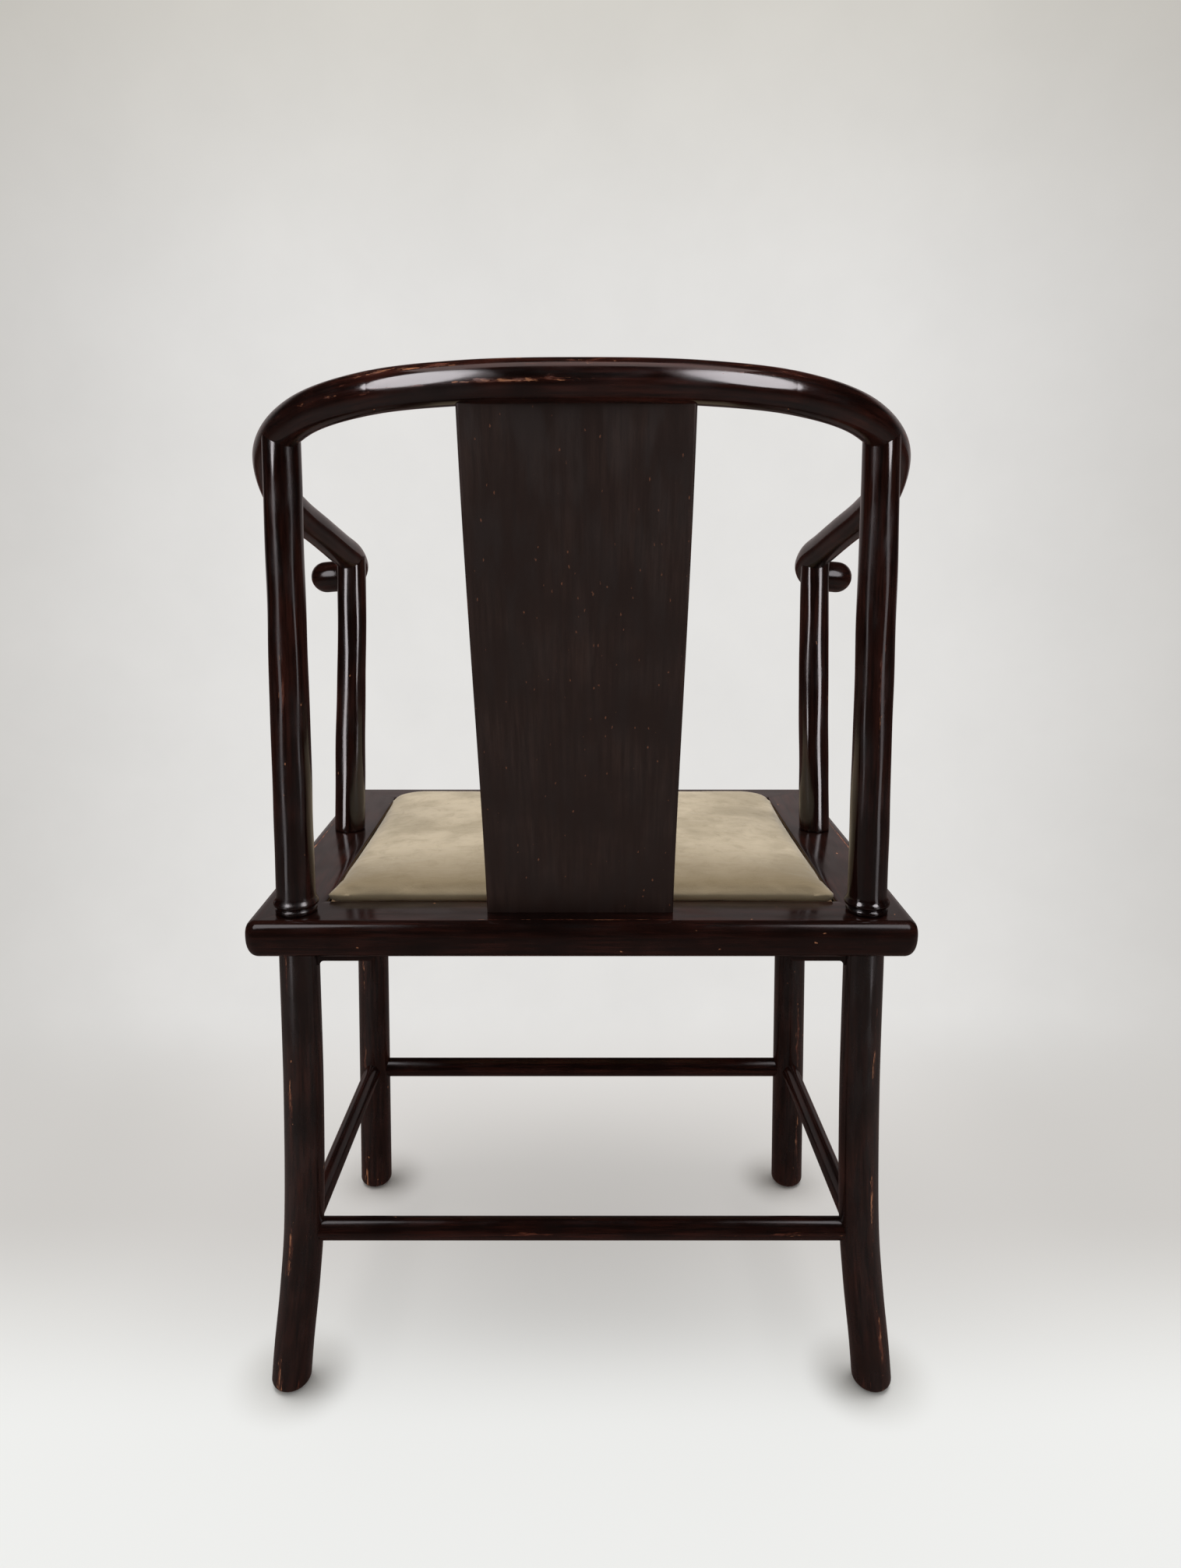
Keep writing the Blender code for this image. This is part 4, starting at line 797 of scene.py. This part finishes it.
def buildFrame():
    side, rear, front = seat["sideWidth"], seat["rearWidth"], seat["frontWidth"]
    middle = (seat["rear"] + seat["front"]) / 2
    depth = (seat["rear"] - seat["front"]) / 2
    mitredRail("seatRailRear", rear, (side, side), seat["side"],
               lambda a, i, z: joined(a, seat["rear"] - i, z), "seat_rail_rear", 0.0)
    mitredRail("seatRailFront", front, (side, side), seat["side"],
               lambda a, i, z: joined(a, seat["front"] + i, z), "seat_rail_front", 0.4)
    for label, sign in sides.items():
        mitredRail("seatRail" + label.capitalize(), side, (front, rear), depth,
                   lambda a, i, z, sign=sign: joined(sign * (seat["side"] - i), middle + a, z),
                   "seat_rail_" + label, 0.8 + 0.4 * sign)


buildFrame()
say("seat frame ready")


# Legs

legs = {
    "head": 0.0179, "foot": 0.0197, "footRound": 0.009, "sides": 56, "gap": 0.0003,
    "rear": (0.0405, 0.006), "front": (0.019, -0.002),      # how far the foot stands out and to the rear
    # height up the leg and outward flare of the sabre curve
    "sabre": ((0.0, 1.0), (0.094, 0.855), (0.25, 0.58), (0.40, 0.37), (0.69, 0.15), (1.0, 0.0)),
    "patternX": 2.1, "patternY": {"rear": 1.7, "front": 2.9},
    # strength, height and spread: everywhere, a worn band, the foot, a ring, and a broken outer streak
    "rubbed": 0.22, "band": (0.15, 0.16, 0.12), "footWear": (0.5, 0.0, 0.02), "ring": (0.9, 0.027, 0.0012),
    "streak": 1.1, "streakSide": 0.45, "streakWidth": 0.13,
}
legLength = seat["bottom"] - legs["gap"]
sabreCurve = spline(legs["sabre"], 24)


def legCentre(end, z):
    # the rear leg sweeps out in a sabre curve, the front one is straight
    share = np.asarray(z) / legLength
    out = np.interp(share, sabreCurve[:, 0], sabreCurve[:, 1]) if end == "rear" else 1 - share
    x, y = legPlaces[end]
    splay, rake = legs[end]
    return joined(x + splay * out, y + rake * out, z)


def buildLegs():
    # circles on the leg's centre line, with a quarter round at the foot
    turn = np.linspace(0, pi / 2, 12)
    shaft = np.linspace(legs["footRound"], legLength, 90)[1:]
    z = np.concatenate([legs["footRound"] * (1 - np.cos(turn)), shaft])
    inset = np.concatenate([legs["footRound"] * (1 - np.sin(turn)), np.zeros(len(shaft))])
    radii = legs["foot"] + (legs["head"] - legs["foot"]) * z / legLength - inset
    band, foot, ring = (strength * bump(z, height, spread)[:, None]
                        for strength, height, spread in (legs["band"], legs["footWear"], legs["ring"]))
    for end in ("rear", "front"):
        for label, side in sides.items():
            grid, straight, around = turnedGrid(legCentre(end, z) * (side, 1, 1), radii, legs["sides"])
            broken = 0.55 + 0.45 * np.sin(around * 2 + side)
            streak = bump(np.cos(around), legs["streakSide"] * side, legs["streakWidth"])
            streak = streak * np.clip(np.sin(around) * 2, 0, 1) * (0.5 + 0.5 * np.sin(z * 40 + side))[:, None]
            rub = legs["rubbed"] + band + foot + ring * broken + legs["streak"] * streak
            straight = straight + (legs["patternX"] * side, legs["patternY"][end], 0)
            addPiece(end + "Leg" + label.capitalize(), grid, straight, rub, legLacquer,
                     ["{}_leg_{}".format(end, label)])


buildLegs()
say("legs ready")


# Stretchers

stretchers = {"width": 0.0215, "height": 0.025, "rear": 0.180, "side": 0.170, "front": 0.169,
              "fullness": 0.75, "into": 0.010, "rubbed": 0.25, "ridgeWear": 0.9, "ridgeWidth": 0.0035}


def stretcherProfile():
    # two full arcs, over and under, whose meeting lines half way up each side are eased to a soft ridge
    share = np.cos(np.linspace(0, pi, 20))
    across = stretchers["width"] / 2 * share
    rise = stretchers["height"] / 2 * np.clip(1 - share ** 2, 0, 1) ** stretchers["fullness"]
    x = np.concatenate([across, -across[1:-1]])
    z = np.concatenate([rise, -rise[1:-1]])
    return x, z


def buildStretcher(name, start, finish, node, seed):
    # the profile carried straight from one leg into the other
    x, z = stretcherProfile()
    along = unit(finish - start)
    across = unit(np.cross(along, (0, 0, 1)))
    places = np.linspace(stretchers["into"], np.linalg.norm(finish - start) - stretchers["into"], 70)[:, None]
    grid = (start + places * along)[:, None, :] + x[:, None] * across + z[:, None] * np.array((0, 0, 1.0))
    ridge = bump(z, 0, stretchers["ridgeWidth"]) * (0.6 + 0.4 * np.sin(places * 23 + seed))
    addPiece(name, grid, joined(x + seed, z, places), stretchers["rubbed"] + stretchers["ridgeWear"] * ridge,
             frameLacquer, [node], 60)


def buildStretchers():
    for end, seed in (("rear", 0.3), ("front", 0.6)):
        right = legCentre(end, stretchers[end])
        buildStretcher("stretcher" + end.capitalize(), right * (-1, 1, 1), right, "stretcher_" + end, seed)
    for label, side in sides.items():
        front, rear = (legCentre(end, stretchers["side"]) * (side, 1, 1) for end in ("front", "rear"))
        buildStretcher("stretcher" + label.capitalize(), front, rear, "stretcher_" + label, 1.0 + 0.2 * side)


buildStretchers()
say("stretchers ready")


# Spandrels

spandrels = {"length": 0.052, "depth": 0.0135, "thickness": 0.009, "fillet": 0.0045, "tip": 0.55,
             "into": 0.006, "gap": 0.0003, "ease": 0.0009, "easeReach": 0.02, "rubbed": 0.2}


def buildSpandrels():
    # side view from the leg outward, made a board with eased arrises
    root = legs["head"]
    tip = root + spandrels["length"]
    depth, fillet = spandrels["depth"], spandrels["fillet"]
    turn = np.linspace(pi / 2, pi, 9)
    curve = np.stack([root + fillet + fillet * np.cos(turn), -depth - fillet + fillet * np.sin(turn)], axis=1)
    low = [(root - spandrels["into"], 0), (tip, 0), (tip, -depth * spandrels["tip"]), (tip - fillet, -depth)]
    outline = np.vstack([low, curve, [(root - spandrels["into"], -depth - fillet)]])
    out, up = outline[:, 0], outline[:, 1] + seat["bottom"] - spandrels["gap"]
    half, ease = spandrels["thickness"] / 2, spandrels["ease"]
    thick = np.array([-half, -half + ease, half - ease, half])[:, None]
    shrink = 1 - ease / spandrels["easeReach"]
    scale = np.array([shrink, 1, 1, shrink])[:, None]
    o, u = (middle + (line - middle) * scale for line, middle in ((out, out.mean()), (up, up.mean())))
    for label, side in sides.items():
        for end, inward in (("rear", -1), ("front", 1)):
            x, y = legPlaces[end]
            for run, grid in (("cross", joined(side * (x - o), y + thick, u)),
                              ("side", joined(side * x + thick, y + inward * o, u))):
                name = "spandrel" + end.capitalize() + run.capitalize() + label.capitalize()
                addPiece(name, grid, joined(up, thick + x, out), spandrels["rubbed"], frameLacquer,
                         ["spandrel_{}_{}_{}".format(end, run, label)], 30)


buildSpandrels()
say("spandrels ready")


# Board and battens under the pad

def buildPlank(name, low, high, along, radius, node, seed):
    # box with eased long arrises: a rounded bar carried along its length
    low, high = np.array(low), np.array(high)
    across = 1 - along
    half = (high - low) / 2
    centre = (high + low) / 2
    outline = roundedBar(half[across], half[2], radius, 4, 20)
    places = np.linspace(-half[along], half[along], 40)[:, None]
    grid = np.empty((len(places), len(outline), 3))
    grid[..., along] = centre[along] + places
    grid[..., across] = centre[across] + outline[:, 0]
    grid[..., 2] = centre[2] + outline[:, 1]
    addPiece(name, grid, joined(outline[:, 0] + seed, outline[:, 1], places), 0.0, plainWood, [node])


buildPlank("seatBoard", *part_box("seat_board"), 0, 0.001, "seat_board", 0.0)
for label, seed in (("right", 0.9), ("left", 0.5)):
    buildPlank("seatBatten" + label.capitalize(), *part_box("seat_batten_" + label), 1, 0.002,
               "seat_batten_" + label, seed)
say("board and battens ready")


# Pad

pad = {
    "overhang": 0.013, "overhangPower": 12, "crown": 0.017, "edgeRise": 0.0022, "fullness": 3.0,
    "rearCorner": 0.004, "frontCorner": 0.026, "drawIn": 0.002, "rings": 60, "recessRise": 0.0008,
    "voxel": 0.0034, "pressure": 4.0, "mass": 0.3, "cap": 0.004, "frames": 20, "fill": 0.75,
    # the rear corners are drawn out towards a point: its distance out, the reach and the share
    "cornerOut": 0.002, "corner": 0.018, "pull": 0.60, "edgeRub": 0.016,
    # rings under the wall's top: share of the outline and height over the underside
    "under": ((0.02, 0), (0.5, 0), (0.975, 0), (0.993, 0.002), (1, 0.004)), "wallEase": 0.002,
}
leather = {
    "pale": (0.500, 0.412, 0.286, 1), "middle": (0.362, 0.292, 0.190, 1), "oliveMottleAndShade": (0.168, 0.120, 0.057, 1),
    "cloudScale": 16.0, "cloudRange": (0.36, 0.66), "wispScale": 60.0, "wispRange": (0.45, 0.75),
    # the rear range and share paint shade: the pad darkens to olive towards its rear, under the back
    "wispShare": 0.35, "rearShadeRange": (-0.01, 0.125), "rearShadeShare": 0.82, "rubShare": 0.35,
    "smooth": 0.62, "dull": 0.86, "pebbleScale": 620.0, "pebble": 0.00010,
    "creaseScale": (22, 60, 22), "crease": 0.0011, "relief": 0.9, "sheen": 0.25, "sheenRoughness": 0.5,
}


def makeLeather():
    # soft mottled leather: two sizes of cloud, painted shade darker towards the rear under the chair's back,
    # paler on its rubbed edges, fine pebble
    material, tree, shader = newMaterial("padLeather")
    place = addNode(tree, "TexCoord").outputs["Object"]
    cloud = noiseAt(tree, place, leather["cloudScale"], 5.0, 0.6)
    wisp = noiseAt(tree, place, leather["wispScale"], 6.0, 0.7, 0.6)
    # painted shade: darker olive towards the pad's rear, under the chair's back; the olive also tints the
    # real mottled wisps
    rearShade = ramp(tree, partsOf(tree, place)["Y"], *leather["rearShadeRange"])
    wisps = ramp(tree, wisp, *leather["wispRange"])
    colour = mixColour(tree, ramp(tree, cloud, *leather["cloudRange"]), leather["middle"], leather["pale"])
    for share, amount, tone in ((wisps, "wispShare", "oliveMottleAndShade"), (rearShade, "rearShadeShare", "oliveMottleAndShade"),
                                (rubShare(tree), "rubShare", "pale")):
        colour = mixColour(tree, times(tree, share, leather[amount]), colour, leather[tone])
    pebble = addNode(tree, "TexVoronoi", {"Vector": place, "Scale": leather["pebbleScale"]},
                     feature="SMOOTH_F1")
    creased = addNode(tree, "Mapping", {"Vector": place, "Scale": leather["creaseScale"]}).outputs[0]
    crease = noiseAt(tree, creased, 1.0, 4.0, 0.5, 0.8)
    height = plus(tree, times(tree, pebble.outputs["Distance"], leather["pebble"]),
                  times(tree, crease, leather["crease"]))
    fillInputs(tree, shader, {
        "Base Color": colour, "Roughness": mixValue(tree, wisp, leather["smooth"], leather["dull"]),
        "Normal": reliefFrom(tree, height, leather["relief"]),
        "Sheen Weight": leather["sheen"], "Sheen Roughness": leather["sheenRoughness"]})
    return material, "leather"


def padOutline(halfX, lowY, highY, count=220):
    # rectangle with round corners, walked once round; each side is drawn in a little at its middle
    points = []
    for quarter, (sx, sy) in enumerate(((1, 1), (-1, 1), (-1, -1), (1, -1))):
        radius = pad["rearCorner" if sy > 0 else "frontCorner"]
        turn = (quarter + np.linspace(0, 1, 12)) * pi / 2
        centre = np.array((sx * (halfX - radius), (highY if sy > 0 else lowY) - sy * radius))
        points.append(centre + radius * np.stack([np.cos(turn), np.sin(turn)], axis=1))
    loop = np.vstack(points + [points[0][:1]])
    lengths = lengthsAlong(loop)
    even = readAt(loop, lengths, np.linspace(0, lengths[-1], count, endpoint=False))
    middle = np.array((0, (lowY + highY) / 2))
    share = np.abs((even - middle) / (halfX, (highY - lowY) / 2))
    pull = pad["drawIn"] * np.cos(np.clip(share, 0, 1) * pi / 2)[:, ::-1]
    return even - np.sign(even - middle) * pull * (share > 0.9), middle


def swellPad(piece):
    # voxel remesh, then cloth with inner pressure and no gravity; how far a point moves is capped
    bpy.context.view_layer.objects.active = piece
    piece.select_set(True)
    remesh = piece.modifiers.new("remesh", "REMESH")
    remesh.mode = "VOXEL"
    remesh.voxel_size = pad["voxel"]
    bpy.ops.object.modifier_apply(modifier=remesh.name)
    before = readPoints(piece.data)
    cloth = piece.modifiers.new("cloth", "CLOTH")
    cloth.settings.use_pressure = True
    cloth.settings.uniform_pressure_force = pad["pressure"]
    cloth.settings.effector_weights.gravity = 0
    cloth.settings.mass = pad["mass"]
    for number in range(1, pad["frames"] + 1):
        scene.frame_set(number)
    bpy.ops.object.modifier_apply(modifier=cloth.name)
    move = readPoints(piece.data) - before
    size = np.linalg.norm(move, axis=1, keepdims=True)
    move = move * np.minimum(1, pad["cap"] / np.maximum(size, 1e-9))
    piece.data.vertices.foreach_set("co", (before + move).reshape(-1))
    piece.data.shade_smooth()
    scene.frame_set(1)


def buildPad():
    # rings from the underside up the wall, then inward over a crown that rises with the square root
    low, high = (np.array(corner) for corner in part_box("seat_pad"))
    halfX, lowY, highY = high[0], low[1], high[1]
    outline, middle = padOutline(halfX, lowY, highY)
    bottom = low[2]
    edge = seat["top"] + pad["edgeRise"]
    shares = np.sqrt(np.linspace(1, 0.0004, pad["rings"]))
    rise = (pad["crown"] - pad["edgeRise"]) * np.sqrt(1 - shares ** pad["fullness"])
    over = shares + pad["overhang"] * shares ** pad["overhangPower"]
    under = np.array(pad["under"])
    scales = np.concatenate([under[:, 0], [1], over])[:, None, None]
    levels = np.concatenate([bottom + under[:, 1], [edge - pad["wallEase"]], edge + rise])
    flat = middle + (outline - middle) * scales
    grid = joined(flat[..., 0], flat[..., 1], levels[:, None])
    piece = addPiece("seatPad", grid, grid, 0.0, makeLeather(), ["seat_pad"], 180)
    swellPad(piece)
    mesh = piece.data
    points = readPoints(mesh)
    # below the frame's top the pad keeps to its recess
    inside = points[:, 2] < seat["top"] + pad["recessRise"]
    points[inside, :2] = np.clip(points[inside, :2], (-halfX, lowY), (halfX, highY))
    points[:, 2] = np.maximum(points[:, 2], bottom)
    for side in sides.values():
        out = np.array((side * (halfX + pad["cornerOut"]), highY + pad["cornerOut"])) - points[:, :2]
        near = 1 - smoothStep(np.linalg.norm(out, axis=1), 0.0, pad["corner"])
        points[:, :2] += out * (pad["pull"] * near)[:, None]
    mesh.vertices.foreach_set("co", points.reshape(-1))
    toEdge = np.minimum(halfX - np.abs(points[:, 0]), np.minimum(points[:, 1] - lowY, highY - points[:, 1]))
    setRub(mesh, 1 - smoothStep(toEdge, 0.0, pad["edgeRub"]))
    mesh.update()


buildPad()
say("pad ready")


# Floor, light and camera

studio = {
    "floorSize": 14.0, "tone": (0.768, 0.758, 0.742, 1), "sideShade": (0.735, 0.725, 0.71, 1),
    # the floor's under, side and near colours are painted shade behind and beside the chair and painted light
    # near the camera
    "topShade": (0.815, 0.795, 0.74, 1), "near": (0.868, 0.872, 0.856, 1), "under": (0.690, 0.672, 0.652, 1),
    "shadeAside": (0.605, 0.590, 0.570, 1), "mottle": 0.018, "mottleScale": 11.0,
    "shownGlow": 0.56, "nearGlow": 0.92, "footRange": (0.075, 0.022), "footBack": 0.008,
    "standAway": 0.996, "standHigh": 0.857,
    "floorGloss": 0.115, "floorGlossSide": 0.17, "floorGlossFar": 0.03, "floorShine": (0.05, 0.018, 0.014, 1),
    "glossDark": 0.010, "glossBright": 0.36, "glossTint": (1, 0.87, 0.85, 1),
    "world": 0.62, "worldTint": (1, 0.985, 0.96, 1), "floorRoughness": 0.9, "floorSpecular": 0.1,
    # each range runs from none of a change to all of it, in metres on the floor, else by direction
    "shadeToLightRange": (-0.12, 0.22), "shadeAsideRange": (0.36, 0.72), "farRange": (-0.24, -0.66), "farOut": (0.9, 1.8),
    "glowRange": (0.04, 0.22), "glossAside": (0.34, 0.62), "glossOut": (1.3, 3.2),
    "sideRange": (0.26, 0.66), "topRange": (0.13, 0.50), "lift": 0.1, "liftShare": 0.20,
    "frontRange": (0.45, 0.80), "lowRange": (0.52, 0.36),
}
camera = {"focalPixels": 1298.6, "imageHigh": 2013, "imageWide": 1516, "pitch": 14.87, "height": 0.8566,
          "behind": 0.8283, "centreColumn": 746.5}
# the overhead lamps give the plain level and the shadows; the others only shine in the lacquer,
# each in the pieces whose names hold one of the words under "only"
plainLamp = {"shape": "RECTANGLE", "gloss": True, "tint": (1.0, 0.95, 0.985), "only": ()}
lamps = {
    "overhead": {"at": (0.70, -0.22, 2.35), "aim": (0.0, 0.0, 0.4), "size": (1.0, 1.0), "power": 18,
                 "gloss": False, "tint": (1.0, 1.0, 1.0)},
    "softboxHigh": {"at": (0.67, 0.74, 1.32), "aim": (0.10, 0.12, 1.0), "size": (0.56, 0.93), "power": 14.4,
                    "shape": "ELLIPSE", "only": ("crestRail", "shoulderRail", "Post", "backSplat", "Leg")},
    "softboxEdge": {"at": (0.64, 0.74, 1.32), "aim": (0.10, 0.12, 1.0), "size": (0.48, 0.93), "power": 5.2,
                    "shape": "ELLIPSE", "only": ("seatRail", "armRail", "stretcher", "spandrel")},
    "ceiling": {"at": (0.45, 0.42, 2.20), "aim": (0.45, 0.26, 0.95), "size": (0.90, 0.60), "power": 2.6,
                "tint": (1.0, 0.76, 0.72), "only": ("crestRail", "shoulderRail")},
    "softboxLow": {"at": (0.66, 0.50, 0.64), "aim": (0.0, -0.1, 0.64), "size": (0.26, 0.46), "power": 3.6,
                   "only": ("armPost",)},
    "softboxFaint": {"at": (0.66, 0.62, 0.60), "aim": (0.1, 0.0, 0.60), "size": (0.16, 0.70), "power": 0.6,
                     "only": ("rearPost",)},
    "softboxFoot": {"at": (0.62, 0.66, 0.40), "aim": (0.2, 0.0, 0.20), "size": (0.12, 0.50), "power": 0.5,
                    "only": ("Leg",)},
}


def makeToneGroup():
    # the backdrop's tone by direction: brightest ahead, darker to the sides and above, softly mottled
    group, given, out = newGroup("backdropTone", "Way", (), "Color", "Color")
    parts = partsOf(group, given["Way"])
    lifted = mathNode(group, "MAXIMUM", plus(group, parts["Z"], studio["lift"]), 0.0)
    away = plus(group, mathNode(group, "ABSOLUTE", parts["X"]), times(group, lifted, studio["liftShare"]))
    shadeSide, shadeTop = (
        mixColour(group, ramp(group, value, *studio[span]), (1, 1, 1, 1), studio[shade])
        for value, span, shade in ((away, "sideRange", "sideShade"), (parts["Z"], "topRange", "topShade")))
    cloud = noiseAt(group, given["Way"], studio["mottleScale"], 5.0, 0.62)
    mottle = addNode(group, "MapRange", {
        "Value": cloud, "From Min": 0.3, "From Max": 0.7,
        "To Min": 1 - studio["mottle"], "To Max": 1 + studio["mottle"]}).outputs[0]
    tone = mixColour(group, 1.0, mixColour(group, 1.0, shadeSide, shadeTop, "MULTIPLY"), studio["tone"],
                     "MULTIPLY")
    bright = addNode(group, "CombineColor", {"Red": mottle, "Green": mottle, "Blue": mottle}).outputs[0]
    group.links.new(mixColour(group, 1.0, tone, bright, "MULTIPLY"), out)
    return group


toneGroup = makeToneGroup()


def buildFloor():
    # flat square floor with painted shade under and beside the chair and painted light near the camera;
    # to the camera it glows a little, which softens the shadows, and its far parts show the backdrop's tone
    half = studio["floorSize"] / 2
    mesh = bpy.data.meshes.new("studioFloor")
    corners = [(-half, -half, 0), (half, -half, 0), (half, half, 0), (-half, half, 0)]
    mesh.from_pydata(corners, [], [(0, 1, 2, 3)])
    floor = bpy.data.objects.new("studioFloor", mesh)
    scene.collection.objects.link(floor)
    material, tree, shader = newMaterial("paperFloor")
    place = addNode(tree, "TexCoord").outputs["Object"]
    y = partsOf(tree, place)["Y"]
    aside = mathNode(tree, "ABSOLUTE", partsOf(tree, place)["X"])
    # painted shade behind the chair and darker to either side, blending to painted light near the camera
    under = mixColour(tree, ramp(tree, aside, *studio["shadeAsideRange"]), studio["under"], studio["shadeAside"])
    paint = mixColour(tree, ramp(tree, y, *studio["shadeToLightRange"]), under, studio["near"])
    fillInputs(tree, shader, {"Base Color": paint, "Roughness": studio["floorRoughness"],
                              "Specular IOR Level": studio["floorSpecular"]})
    # the tone's direction is taken from a stand across the chair from the place
    over = times(tree, mathNode(tree, "SIGN", y), studio["standAway"])
    toStand = addNode(tree, "CombineXYZ", {"Y": over, "Z": -studio["standHigh"]}).outputs[0]
    way = vectorNode(tree, "NORMALIZE", vectorNode(tree, "ADD", place, toStand))
    length = vectorNode(tree, "LENGTH", place, output="Value")
    far = mathNode(tree, "MAXIMUM", ramp(tree, y, *studio["farRange"]), ramp(tree, length, *studio["farOut"]))
    shown = mixColour(tree, far, paint, useGroup(tree, toneGroup, {"Way": way}))
    glow = addNode(tree, "Emission", {"Color": shown, "Strength": 1.0})
    # round the feet it glows less, so that their own shadows stay dark
    folded = addNode(tree, "CombineXYZ", {"X": aside, "Y": y}).outputs[0]
    feet = [tuple(legCentre(end, 0.0) - (0, studio["footBack"], 0)) for end in ("rear", "front")]
    off = [vectorNode(tree, "DISTANCE", folded, foot, "Value") for foot in feet]
    byFoot = ramp(tree, mathNode(tree, "MINIMUM", off[0], off[1]), *studio["footRange"])
    toCamera = mixValue(tree, ramp(tree, y, *studio["glowRange"]), studio["shownGlow"], studio["nearGlow"])
    share = mixValue(tree, far, times(tree, toCamera, restOf(tree, byFoot)), 1.0)
    rays = addNode(tree, "LightPath").outputs
    lit = addNode(tree, "MixShader", {0: times(tree, share, rays["Is Camera Ray"]), 1: shader.outputs[0],
                                      2: glow.outputs[0]})
    # in the lacquer's reflections the floor is dim, brighter to the sides and dark further off
    dark = addNode(tree, "Emission", {"Color": studio["floorShine"], "Strength": 1.0})
    kept = mixValue(tree, ramp(tree, aside, *studio["glossAside"]), studio["floorGloss"],
                    studio["floorGlossSide"])
    kept = mixValue(tree, ramp(tree, length, *studio["glossOut"]), kept, studio["floorGlossFar"])
    dimmed = times(tree, rays["Is Glossy Ray"], restOf(tree, kept))
    mix = addNode(tree, "MixShader", {0: dimmed, 1: lit.outputs[0], 2: dark.outputs[0]})
    tree.links.new(mix.outputs[0], tree.nodes["Material Output"].inputs["Surface"])
    mesh.materials.append(material)


def buildWorld():
    # the camera sees the backdrop; gloss sees it bright in front of the chair and dark behind the camera;
    # everything else gets an even soft light
    world = bpy.data.worlds.new("studio")
    scene.world = world
    world.use_nodes = True
    tree = world.node_tree
    tree.nodes.clear()
    way = addNode(tree, "TexCoord").outputs["Generated"]
    parts = partsOf(tree, way)
    seen = addNode(tree, "LightPath").outputs
    toFront = ramp(tree, times(tree, parts["Y"], -1.0), *studio["frontRange"])
    low = ramp(tree, parts["Z"], *studio["lowRange"])
    shine = mixValue(tree, times(tree, toFront, low), studio["glossDark"], studio["glossBright"])
    soft, gloss, backdrop = (
        addNode(tree, "Background", {"Color": colour, "Strength": strength}).outputs[0]
        for colour, strength in ((studio["worldTint"], studio["world"]), (studio["glossTint"], shine),
                                 (useGroup(tree, toneGroup, {"Way": way}), 1.0)))
    first = addNode(tree, "MixShader", {0: seen["Is Glossy Ray"], 1: soft, 2: gloss})
    both = addNode(tree, "MixShader", {0: seen["Is Camera Ray"], 1: first.outputs[0], 2: backdrop})
    out = tree.nodes.new("ShaderNodeOutputWorld")
    tree.links.new(both.outputs[0], out.inputs["Surface"])


def buildLamps():
    # a mirrored pair of each lamp
    pieces = list(scene.objects)
    for name, changes in lamps.items():
        lamp = {**plainLamp, **changes}
        lit = bpy.data.collections.new(name + "Pieces")
        for piece in pieces:
            if any(word in piece.name for word in lamp["only"]):
                lit.objects.link(piece)
        for label, side in sides.items():
            light = bpy.data.lights.new(name + label.capitalize(), "AREA")
            light.shape = lamp["shape"]
            light.size, light.size_y = lamp["size"]
            light.energy = lamp["power"]
            light.color = lamp["tint"]
            thing = bpy.data.objects.new(name + label.capitalize(), light)
            scene.collection.objects.link(thing)
            thing.visible_diffuse = not lamp["gloss"]
            thing.visible_glossy = lamp["gloss"]
            if lamp["only"]:
                thing.light_linking.receiver_collection = lit
            place, target = (Vector(lamp[key]) * Vector((side, 1, 1)) for key in ("at", "aim"))
            thing.location = place
            thing.rotation_euler = (target - place).to_track_quat("-Z", "Y").to_euler()


def buildCamera():
    data = bpy.data.cameras.new("camera")
    data.sensor_width = 36
    data.lens = camera["focalPixels"] * data.sensor_width / camera["imageHigh"]
    data.shift_x = (camera["imageWide"] / 2 - camera["centreColumn"]) / camera["imageHigh"]
    thing = bpy.data.objects.new("camera", data)
    scene.collection.objects.link(thing)
    thing.location = (0, seat["rear"] - seat["swell"] + camera["behind"], camera["height"])
    thing.rotation_euler = (radians(90 - camera["pitch"]), 0, pi)
    scene.camera = thing


buildFloor()
buildWorld()
buildLamps()
buildCamera()
scene.view_settings.view_transform = "Standard"
say("studio ready")
